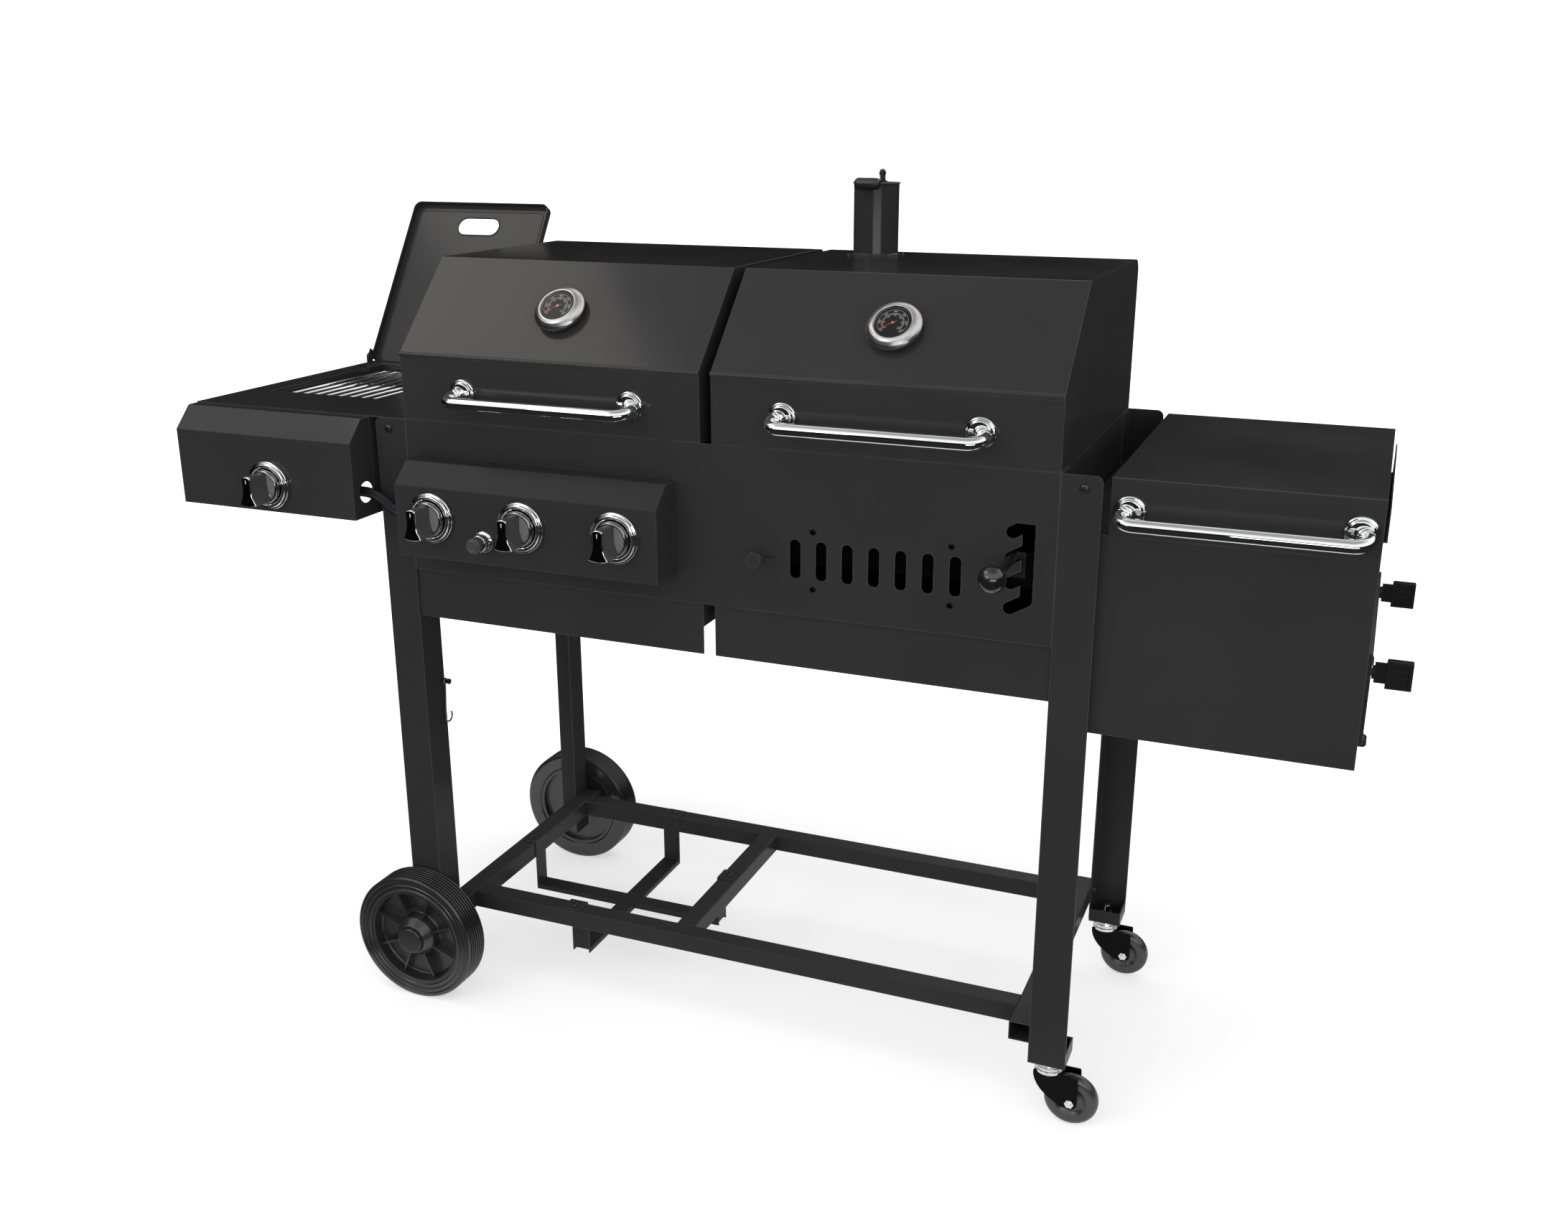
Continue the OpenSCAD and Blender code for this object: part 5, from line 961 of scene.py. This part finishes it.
def tyreAt(name, node, back):
    w = wheelWork
    r, q, wide, deep = w["radius"], w["rim"], w["wide"], w["depth"]
    profile = [(q, 3), (q + 2, 0.6), (q + 6, 0), (r - 7, 0), (r - 2.6, 1.2), (r - 0.5, 3.6)]
    pitch = (wide - 2 * w["shoulder"]) / w["grooves"]
    for i in range(w["grooves"]):
        mid = w["shoulder"] + pitch * (i + 0.5)
        groove = [(0.3, 0.38), (0.9, 0.28), (deep, 0.2)]  # depth and half width of a groove, as a share of the pitch
        profile += [(r - d, mid - pitch * h) for d, h in groove] + [(r - d, mid + pitch * h) for d, h in groove[::-1]]
    outside = [(0.5, 3.6), (2.4, 1.2), (6.0, 0), (7.6, 0.1), (8.8, 2.4), (13.0, 1.4), (14.4, 0.3), (15.4, 0.4), (16.4, 2.8),
               (21.0, 1.6), (22.2, 0.6), (23.2, 0.8), (24.2, 3.0)]  # the rings of the side wall, inwards
    profile += [(r - d, wide - h) for d, h in outside] + [(q, wide - 3.4)]
    bm = newWork()
    spin(bm, profile, wheelPlace(node, back), 144, loop=True, round=0.6)
    piece(name, bm, node, "tyre", sharp=50)


def rimAt(name, node, tyreNode, back):
    w = wheelWork
    place = wheelPlace(tyreNode, back)
    q, wide, cap = w["rim"], w["wide"], w["wide"] + w["cap"]
    dish = [(5.1, 0.2), (21, 0.2), (21, 13.8), (q - 7, 13.8), (q - 6.4, 2.4), (q - 0.1, 2.2), (q - 0.1, wide - 2.2),
            (q - 1.4, wide - 2.0), (q - 2.4, wide - 4.0), (q - 3.8, 30), (q - 6.0, 27), (44, 24.5), (38, 25), (36, 27.5),
            (35.2, wide - 10), (34, wide - 7.5), (25.4, wide + 3.6), (24, wide + 4.8), (21.6, wide + 4.2), (5.1, wide + 4.2)]
    hubCap = [(0, wide + 3.9), (20.2, wide + 3.9), (20.2, wide + 6.2), (22, wide + 6.9), (22.3, wide + 8.6), (21.2, wide + 10.6),
              (19.8, cap), (0, cap)]
    bm = newWork()
    spin(bm, dish, place, 96, loop=True, round=0.9)
    spin(bm, hubCap, place, 64, round=0.7)
    piece(name, bm, node, "rim", sharp=34)
    web = newWork()
    outline = [(33.6, 23), (q - 3.6, 26.5), (q - 2.4, wide - 9.4), (q - 7, wide - 8.6), (34.2, wide - 8.4)]
    plate(web, outline, -1.7, 1.7, toFront)
    bmesh.ops.bevel(web, geom=web.edges[:], offset=0.6, segments=2, affect="EDGES")
    half = radians(180 / w["ribs"])
    ribs = grow("ring", partOf(web, 40), {"Count": w["ribs"], "Radius": 0.0, "Start": half}, "rim", [place])
    settle(name + "Ribs", ribs, node, "rim")


for end in ("front", "back"):
    tyreAt(end + "Tyre", end + "_wheel_tyre", end == "back")
    rimAt(end + "Rim", end + "_wheel_rim", end + "_wheel_tyre", end == "back")

axleWork = {"radius": 5.0, "washer": [(5, 0), (10, 0), (10, 2.2), (5, 2.2)], "washersAt": (-2.2, 497.0)}
mid, low, high = middle("wheel_axle")
bm = newWork()
bar(bm, [(mid.x, low.y + 0.5, mid.z), (mid.x, high.y - 0.5, mid.z)], axleWork["radius"], onBench, 28)
for y in axleWork["washersAt"]:
    spin(bm, axleWork["washer"], spot(mid.x, y, mid.z, toBack), 36, loop=True, round=0.3)
piece("wheelAxle", bm, "wheel_axle", "zinc")
print("wheels mounted")


# ---- casters
casterWork = {"trail": 35.0, "wheel": middle("front_caster_wheel")[0].z, "wide": 21.0, "half": 12.0, "plate": 2.6,
              "leg": 102.0, "race": 15.3}


def casterFork(name, node, wheelNode):
    c = casterWork
    centre = middle(wheelNode)[0]
    t, wheel, half, thick, top = c["trail"], c["wheel"], c["half"], c["plate"], c["leg"] - c["race"]
    place = spot(centre.x - t, centre.y, 0)
    lead = [(-20.5, top - 4), (-20.4, top - 10), (-18.4, top - 18), (-14.4, top - 26), (-8.6, top - 34), (-1.0, top - 41),
            (8.0, top - 47.5), (17.5, top - 53.5), (24.0, top - 57)]
    outline = lead + arc(t, wheel, 11.0, 240, 355) + [(t + 10.6, wheel + 14), (t + 10.4, top - 8), (t + 9.4, top - 4)]
    bm = newWork()
    for side in (-1, 1):
        edge = -half - thick if side < 0 else half
        plate(bm, outline, -edge - thick, -edge, place @ toFront)
        nut = place @ moved(t, side * (half + thick), wheel) @ (toFront if side < 0 else toBack)
        plate(bm, hexagon(7.0), 0, 3.6, nut, 1)
        spin(bm, [(0, 3), (3.8, 3), (3.8, 4.6), (2.8, 5.4), (0, 5.4)], nut, 24, 1, round=0.3)
    slab(bm, (-20, -half - 1, top - 7.4), (16.8, half + 1, top - 4.4), place)
    crown = [(0, top - 5), (20.4, top - 5), (20.9, top - 4.2), (20.9, top - 0.9), (20.4, top - 0.2), (0, top - 0.2)]
    spin(bm, crown, place, 64, 1, round=0.4)
    bar(bm, [(t, -half - 2, wheel), (t, half + 2, wheel)], 3.9, place, 24, 1)
    piece(name, bm, node, "fork", ["fork", "chrome"], bevel=0.5)


def casterRoller(name, node):
    c = casterWork
    centre = middle(node)[0]
    place = spot(centre.x, centre.y - c["wide"] / 2, centre.z, toBack)
    r, w = c["wheel"], c["wide"]
    half = [(4.2, -1.0), (8.2, -1.0), (9.0, 0.4), (10.6, 3.2), (14.0, 4.8), (18.4, 4.4), (21.6, 2.2), (23.2, 0.4), (24.4, 0),
            (r - 9.0, 0), (r - 6.4, 0.5), (r - 3.6, 1.9), (r - 1.2, 4.4), (r - 0.2, 7.0), (r, 8.6)]
    bm = newWork()
    spin(bm, half + [(a, w - b) for a, b in half[::-1]], place, 96, loop=True, round=0.8)
    piece(name, bm, node, "roller", sharp=38)


def casterStem(bm, wheelNode):
    c = casterWork
    centre = middle(wheelNode)[0]
    place = spot(centre.x - c["trail"], centre.y, 0)
    top, leg = c["leg"] - c["race"], c["leg"]
    rivet = [(0, -15.6), (7.6, -15.6), (8, -14.8), (8, -11.8), (7.6, -11.2), (5, -11.2), (5, 0.3)]
    race = [(19.0, 0.3), (20.4, 1.2), (20.4, 2.6), (18.8, 3.4), (18.8, 4.0), (21.4, 4.8), (21.9, 6.2), (21.4, 7.6), (18.9, 8.4),
            (18.9, 9.0), (21.2, 9.8), (21.5, 11.2), (21.0, 12.4), (19.6, 13.2)]
    stem = [(19.6, leg), (5, leg), (5, leg + 21.6), (4.2, leg + 22), (0, leg + 22)]
    spin(bm, [(a, top + b) for a, b in rivet + race] + stem, place, 72, round=0.35)
    plate(bm, hexagon(9.4), leg + 2, leg + 9.6, place)


stems = newWork()
for end in ("front", "back"):
    casterFork(end + "CasterFork", end + "_caster_fork", end + "_caster_wheel")
    casterRoller(end + "CasterRoller", end + "_caster_wheel")
    casterStem(stems, end + "_caster_wheel")
piece("casterStems", stems, "caster_stems", "chrome", sharp=36)
print("casters fitted")


# ---- chimney
flueMid, flueLow, flueHigh = middle("chimney_tube")
flueWork = {
    "behind": 40.0, "boltBehind": 27.5, "gap": 0.35, "gripAhead": 44.0, "gripHalf": 20.0, "turns": 5, "pitch": 1.6,
    "coil": 4.3, "wire": 0.62, "screws": 33,
    "foot": [(33.5, 0), (40, 0), (40, 1.5), (36.2, 1.6), (35, 2.8)],  # from the tube's lower end
    "lip": [(35, -0.4), (34.6, 0), (33.9, 0), (33.5, -0.4)],  # from its upper end
    "cap": [(0, 0), (36.6, 0), (37, 0.5), (36.6, 1.5), (0, 1.6)],
    "stud": [(0, -26), (5.5, -26), (5.5, -20.5), (3, -20), (3, 13), (0, 13)],
    "washer": [(3.2, 2.2), (7.4, 2.2), (7.4, 3.6), (3.2, 3.6)],
    "acorn": [(0, 16), (4.5, 16), (4.5, 17.6), (3.9, 19.6), (2.4, 20.7), (0, 21)],
}


def raised(profile, rise):
    return [(a, b + rise) for a, b in profile]


def chimney():
    w = flueWork
    x, y, top = flueMid.x, flueHigh.y - w["behind"], flueHigh.z
    tube, boltY = spot(x, y, 0), y + w["boltBehind"]
    bm = newWork()
    spin(bm, raised(w["foot"], flueLow.z) + raised(w["lip"], top), tube, 128, loop=True, round=0.3)
    ear = arc(x, boltY, 8.6, 180, 360, 10) + arc(x, y, 33.8, 64, 116)
    plate(bm, ear, top - 4, top - 1.2, onBench)
    piece("chimneyTube", bm, "chimney_tube", "enamel", sharp=38)
    capZ, e = top + w["gap"], w["gripHalf"]
    bm = newWork()
    spin(bm, raised(w["cap"], capZ), tube, 112, round=0.2)
    slab(bm, (x - 10, y - 45, capZ), (x + 10, y - 30, capZ + 1.5), onBench)
    grip = [(0, -e), (5.4, -e), (7.6, -e + 2.6), (8.7, -e + 5.2), (8.7, e - 7), (8.3, e - 6.4), (8.3, e - 5.6), (8.7, e - 5),
            (7.6, e - 2.6), (5.4, e), (0, e)]
    spin(bm, grip, spot(x, y - w["gripAhead"], capZ + 0.9, toRight), 56, round=0.6)
    piece("chimneyCap", bm, "chimney_cap", "enamel", ["blackZinc"], sharp=34)
    bm = newWork()
    place = spot(x, boltY, 0)
    spin(bm, raised(w["stud"], top), place, 24)
    spin(bm, raised(w["washer"], top), place, 40, loop=True, round=0.3)
    sweep = [2 * pi * w["turns"] * k / 110 for k in range(111)]
    spring = [(w["coil"] * cos(t), w["coil"] * sin(t), top + 4.2 + w["pitch"] * t / (2 * pi)) for t in sweep]
    bar(bm, spring, w["wire"], place, 8)
    plate(bm, hexagon(5.6), top + 12.2, top + 16.4, place)
    spin(bm, raised(w["acorn"], top), place, 32, round=0.5)
    piece("chimneyBolt", bm, "chimney_bolt", "chrome", ["blackZinc"], sharp=36)


chimney()
print("chimney raised")


# ---- charcoal tray's lever
leverWork = {"ball": 18.5, "rod": 6.5, "tab": (16, 30, 6, 3),
             "neck": [(7.6, 35.6), (8.4, 36.4), (8.4, 41.6), (7.4, 42.4), (0, 42.4)]}


def trayLever():
    w = leverWork
    centre, low, high = middle("tray_lever")
    ballZ, r, depth = high.z - w["ball"], w["ball"], high.y - low.y
    wide, down, up, thick = w["tab"]
    place = spot(centre.x, low.y, ballZ, toBack)
    ball = [(r * sin(radians(a)), r - r * cos(radians(a))) for a in range(0, 156, 6)]
    bm = newWork()
    spin(bm, ball + w["neck"], place, 72)
    spin(bm, [(0, 40), (w["rod"], 40), (w["rod"], depth - 2), (0, depth - 2)], place, 40, 1)
    slab(bm, (centre.x - wide, high.y - thick, ballZ - down), (centre.x + wide, high.y, ballZ + up), onBench, 1)
    piece("trayLever", bm, "tray_lever", "chrome", ["ball", "blackZinc"], sharp=36)


trayLever()


# ---- gas hose between the side burner and the control box
hoseWork = {"dia": 16.0, "y": -20.0, "clear": 4.5, "inBox": 8.0, "bends": 4.0}  # bend radius in diameters


def gasHose():
    h = hoseWork
    low, high = middle("gas_hose")[1:]
    bend, z0, z1 = h["bends"] * h["dia"], high.z - h["dia"] / 2, low.z + h["dia"] / 2
    turn = acos(1 - (z0 - z1) / (2 * bend))
    span = 2 * bend * sin(turn)
    x = middle("control_box")[1].x - h["clear"] - span
    route = [(low.x + 0.5, z0), ((low.x + x) / 2, z0)]
    route += [(x + bend * sin(turn * k / 9), z0 - bend * (1 - cos(turn * k / 9))) for k in range(10)]
    route += [(x + span - bend * sin(turn * k / 9), z1 + bend * (1 - cos(turn * k / 9))) for k in range(8, -1, -1)]
    route += [(x + span + h["inBox"], z1), (high.x - 0.5, z1)]
    bm = newWork()
    bar(bm, [(x, h["y"], z) for x, z in route], h["dia"] / 2, onBench, 52)
    hose = piece("gasHose", bm, "gas_hose", "hose", sharp=50)


gasHose()
print("lever and hose placed")


# ---- grates, burners and fire parts
def rodRow(name, node, finish, rods):  # rods: part, count, first, step
    joined = bmesh.new()
    for part, count, first, step in rods:
        mesh = grow("row", partOf(part, 40), {"Count": count, "First": first, "Step": step}, finish)
        joined.from_mesh(mesh)
        bpy.data.meshes.remove(mesh)
    mesh = bpy.data.meshes.new(name)
    joined.to_mesh(mesh)
    joined.free()
    settle(name, mesh, node, finish, stands=True, sharp=40)


def squareRod(low, high, soften=1.2):
    bm = newWork()
    slab(bm, low, high, unturned)
    bmesh.ops.bevel(bm, geom=bm.edges[:], offset=soften, segments=2, affect="EDGES")
    return bm


def roundRod(length, radius, turn=toBack):
    bm = newWork()
    profile = [(0, 0), (radius - 0.6, 0), (radius, 0.8), (radius, length - 0.8), (radius - 0.6, length), (0, length)]
    spin(bm, profile, turn, 20)
    return bm


grateWork = {"starts": (-496.0, 13.0), "half": 242.5, "gap": 2, "pitch": 18, "rod": 6, "rise": (2, 10), "end": 7, "mid": (6, 5)}


def cookingGrates():
    w = grateWork
    low, high = middle("cooking_grates")[1:]
    depth, rod, end, wide = high.y - low.y, w["rod"], w["end"], w["half"] - w["gap"]
    count = int((wide - 10) / w["pitch"])
    rods = []
    for x in [start + i * w["half"] for start in w["starts"] for i in (0, 1)]:
        bars = squareRod((0, 0, w["rise"][0]), (rod, depth, w["rise"][1]), 1.6)
        rods.append((bars, count + 1, (x, low.y, low.z), ((wide - rod) / count, 0, 0)))
        rods.append((squareRod((0, 0, 0), (wide, end, end), 1.4), 2, (x, low.y, low.z), (0, depth - end, 0)))
        tie = squareRod((0, 0, 0), (wide, *w["mid"]), 1.2)
        rods.append((tie, 1, (x, (low.y + high.y - w["mid"][0]) / 2, low.z), (0, 0, 0)))
    rodRow("cookingGrates", "cooking_grates", "grate", rods)


def sideGrate(r=3.2, inset=10):
    low, high = middle("side_grate")[1:]
    x, z, wide, deep = low.x + r, high.z - r, high.x - low.x - 2 * r, high.y - low.y
    rodRow("sideBurnerGrate", "side_grate", "chrome", [
        (roundRod(deep, r), 9, (x, low.y, z), (wide / 8, 0, 0)),
        (roundRod(wide, r - 0.4, toRight), 2, (x, low.y + inset, z - 0.6), (0, deep - 2 * inset, 0))])


def fireGrate(rod=8):
    low, high = middle("fire_grate")[1:]
    wide, deep = high.x - low.x, high.y - low.y
    rodRow("fireGrate", "fire_grate", "grate", [
        (squareRod((0, 0, 0), (rod, deep, rod), 1.6), 17, tuple(low), ((wide - rod) / 16, 0, 0)),
        (squareRod((0, 0, 0), (wide, rod, 6)), 2, (low.x, low.y + 16, low.z), (0, deep - 40, 0))])


cookingGrates()
sideGrate()
fireGrate()

burnerWork = {"radius": 13.2, "length": 468.5, "ports": 12, "pitch": 32.0, "firstPort": 70, "portTurn": 68,
              "port": [(1.9, -0.3), (2.5, -0.3), (2.5, 0.35), (1.9, 0.35)]}


def gasBurners():
    w = burnerWork
    centre, low, high = middle("gas_burners")
    r, length = w["radius"], w["length"]
    tube = [(r - 1.5, 0), (r, 0), (r, length - 8), (11.4, length - 1.5), (9.0, length), (0, length), (0, length - 2),
            (8.6, length - 2), (r - 1.5, length - 9)]
    bm, part, places = newWork(), newWork(), []
    for x in (low.x + r, centre.x, high.x - r):
        spin(bm, tube, spot(x, low.y, low.z + r, toBack), 48, round=0.5)
        slab(bm, (x - 10, high.y - 31, low.z + 1.2), (x + 10, high.y - 0.2, low.z + 4.2), onBench)
        for side in (-1, 1):
            turn = Matrix.Rotation(side * radians(w["portTurn"]), 4, "Y")
            places.append(spot(x + side * 12.2, w["firstPort"], low.z + 18.2, turn))
    piece("gasBurners", bm, "gas_burners", "burner", sharp=36)
    spin(part, w["port"], unturned, 10, loop=True)
    ports = grow("row", partOf(part), {"Count": w["ports"], "Step": (0, w["pitch"], 0)}, "burner", places)
    settle("burnerPorts", ports, "gas_burners", "burner")


sideWork = {
    "head": 45.0, "pipe": 7, "valve": (11, 12), "valveFront": -39.8, "valveBack": -11.8, "lip": (-50.3, -37.8, 9),
    "inlet": (10, -20, 115.5, 6), "jets": 32, "jetRing": 46.2, "jetRise": 17,
    "cup": [(0, 0), (20, 0), (20, 5.5), (24, 6.4), (44, 11), (46, 13), (46, 20.4), (44.6, 21.6), (41.5, 22.4), (40, 25.4),
            (38, 26.6), (14, 26.6), (9, 29.4), (0, 30)],
}


def sideBurner():
    w = sideWork
    high, knob, (x, y) = middle("side_burner")[2], middle("side_knob")[0], middle("side_grate")[0].xy
    headZ, (wide, tall), (inletX, inletY, inletDown, inletR) = deck - w["head"], w["valve"], w["inlet"]
    lipFront, lipBack, lipUp = w["lip"]
    bm = newWork()
    spin(bm, w["cup"], spot(x, y, headZ), 80, round=0.7)
    spin(bm, [(0, 0), (11, 0), (11, headZ + 2 - knob.z), (0, headZ + 2 - knob.z)], spot(x, y, knob.z), 40, 1)
    corners = [(x, y, knob.z), (knob.x, y, knob.z), (knob.x, w["valveBack"] - 1, knob.z)]
    for ends in (corners[:2], corners[1:]):
        bar(bm, ends, w["pipe"], onBench, 28, 1)
    for low, up in (((w["valveFront"], -tall), (w["valveBack"], tall)), ((lipFront, lipUp), (lipBack, tall))):
        slab(bm, (knob.x - wide, low[0], knob.z + low[1]), (knob.x + wide, up[0], knob.z + up[1]), onBench, 1)
    inletZ = deck - inletDown
    bar(bm, [(knob.x + inletX, inletY, inletZ), (high.x, inletY, inletZ)], inletR, onBench, 24, 1)
    piece("sideBurner", bm, "side_burner", "brass", ["grate", "brass"], sharp=36)
    jet = newWork()
    slab(jet, (-1.2, -0.9, -2.6), (0.3, 0.9, 2.6), unturned)
    jets = grow("ring", partOf(jet), {"Count": w["jets"], "Radius": w["jetRing"]}, "brass", [spot(x, y, headZ + w["jetRise"])])
    settle("sideBurnerJets", jets, "side_burner", "brass")


gasBurners()
sideBurner()
print("grates and burners set")


# ---- latches and match hook
latchWork = {  # x runs from the latch's inner end, at 0, out to the door
    "stem": 4.9, "up": 20, "door": -49,
    "blocks": [((-46, -2.4, -13.6), (-31, 2.4, 13.6)), ((-45, -3, -1.4), (-31, 3, 1.4)), ((-32, -1.6, -19.6), (-0.4, 1.6, 17)),
               ((-32, -4, -19.8), (0, 4, -16.4)), ((-32, -4, 13.4), (0, 4, 17.0)),
               ((-32, -3.9, -19.6), (-28.6, 3.9, 16.6)), ((-4.6, -3.9, -19.6), (0, 3.9, 16.6)),
               ((-29, -2.6, -4.6), (-4.2, 2.6, -3.0)), ((-29, -2.6, 3.4), (-4.2, 2.6, 5.0))],
    "washer": [(0, 0), (9, 0), (9, 3), (7.6, 4.4), (0, 4.4)],
    "pin": [(0, 0), (3.4, 0), (4.0, 0.8), (4.0, 30.2), (3.4, 31), (0, 31)],
}


def turnLatch(name, node):
    w = latchWork
    centre, low, high = middle(node)
    place, foot = spot(high.x, centre.y, low.z + w["up"]), low.x - high.x
    bm = newWork()
    bar(bm, [(foot, 0, 0), (w["door"], 0, 0)], w["stem"], place, 24)
    slab(bm, (foot, -5, -14), (foot + 2.1, 5, 5), place)
    spin(bm, w["washer"], place @ moved(w["door"], 0, 0) @ toRight, 40, round=0.5)
    for near, far in w["blocks"]:
        slab(bm, near, far, place)
    spin(bm, w["pin"], place @ moved(-31.5, 0, 16) @ toRight, 32, round=0.3)
    piece(name, bm, node, "latch", bevel=0.5)


hookWork = {"y": 45.0, "down": 438.0, "lean": -5, "eye": 4.1, "eyeWire": 1.35, "stem": (4.2, 62.0), "bow": 9.0, "wire": 1.45}
hookZ = deck - hookWork["down"]


def matchHook():
    w = hookWork
    (start, end), bow = w["stem"], w["bow"]
    place = spot(middle("match_hook")[0].x, w["y"], hookZ, Matrix.Rotation(radians(w["lean"]), 4, "X"))
    bm = newWork()
    eye = [(0, w["eye"] * sin(t), w["eye"] * cos(t)) for t in [2 * pi * k / 24 for k in range(24)]]
    bar(bm, eye, w["eyeWire"], place, 12, loop=True)
    wire = [(0, 0, -start - (end - start) * k / 14) for k in range(15)]
    wire += [(0, bow - bow * cos(radians(a)), -end - bow * sin(radians(a))) for a in range(8, 232, 8)]
    bar(bm, wire, w["wire"], place, 14)
    piece("matchHook", bm, "match_hook", "zinc", sharp=50)


turnLatch("frontLatch", "front_latch")
turnLatch("backLatch", "back_latch")
matchHook()


# ---- screws
def screwHead(radius, height):
    bm = newWork()
    dome = [(0, 0), (radius, 0), (radius, height * 0.3), (radius * 0.82, height * 0.74), (radius * 0.45, height), (0, height)]
    spin(bm, dome, unturned, 20, round=radius * 0.14)
    head = partOf(bm)
    cross = newWork()
    arm, wide = radius * 0.52, radius * 0.13
    outline = [(-arm, -wide), (-wide, -wide), (-wide, -arm), (wide, -arm), (wide, -wide), (arm, -wide), (arm, wide),
               (wide, wide), (wide, arm), (-wide, arm), (-wide, wide), (-arm, wide)]
    plate(cross, outline, height * 0.55, height + 1, unturned)
    cutter = partOf(cross)
    cut = head.modifiers.new("recess", "BOOLEAN")
    cut.object, cut.operation = cutter, "DIFFERENCE"
    bpy.context.view_layer.update()
    graph = bpy.context.evaluated_depsgraph_get()
    mesh = bpy.data.meshes.new_from_object(head.evaluated_get(graph), depsgraph=graph)
    head.modifiers.clear()
    head.data = mesh
    bpy.data.objects.remove(cutter)
    return head


sides = (-1, 1)
vents = [(x, deck - 153.2 + rise) for x in (161.0, 359.0) for rise in (-41.3, 41.3)]
legScrews = [((s * 531, 0, deck - 17.5), (0, -1, 0)) for s in sides] + [((s * 531, 497, deck - 19), (0, 1, 0)) for s in sides]
railScrews = [((s * 502, y, deck - 833.0), (s, 0, 0)) for s in sides for y in (20, 477)]
strapScrews = [((x, 262, 161), (0, 0, 1)) for x in (-484, -88)] + [((-286, y, 161), (0, 0, 1)) for y in (68, 452)]
screwSets = [  # a head's radius and height, and each screw's place and facing
    (6.5, 4.0, legScrews + railScrews),
    (4.3, 2.0, [((x, 0, z), (0, -1, 0)) for x, z in vents]),
    (5.0, 3.0, strapScrews),
]


def screws():
    bm = newWork()
    for mat, (radius, height, rows) in enumerate(screwSets):
        heads = grow("point", screwHead(radius, height), {}, "blackZinc", host=screwPoints(rows))
        known = set(bm.faces)
        bm.from_mesh(heads)
        for face in set(bm.faces) - known:
            face.material_index = mat % 2  # the vent's guide screws are blacker
        bpy.data.meshes.remove(heads)
    for x, z in vents:
        bar(bm, [(x, 0.1, z), (x, 7, z)], 2.4, onBench, 16)
    bar(bm, [(-506, hookWork["y"], hookZ), (-488, hookWork["y"], hookZ)], 2.5, onBench, 20)  # the match hook's pin and nuts
    for x in (-506, -489):
        plate(bm, hexagon(5), 0, 4, spot(x, hookWork["y"], hookZ, toRight))
    piece("screwHeads", bm, "screws", "zinc", ["blackZinc", "fork"], sharp=36, clean=False)
    x, y, reach = flueMid.x, flueHigh.y - flueWork["behind"], flueWork["screws"]
    corners = [((x + a * reach, y + b * reach, flueLow.z), (0, 0, 1)) for a in sides for b in sides]
    flueScrews = grow("point", screwHead(3.5, 2.5), {}, "blackZinc", host=screwPoints(corners))
    settle("chimneyScrews", flueScrews, "chimney_bolt", "zinc", ["blackZinc"])


screws()
print("latches, hook and screws placed:", len(made), "pieces")
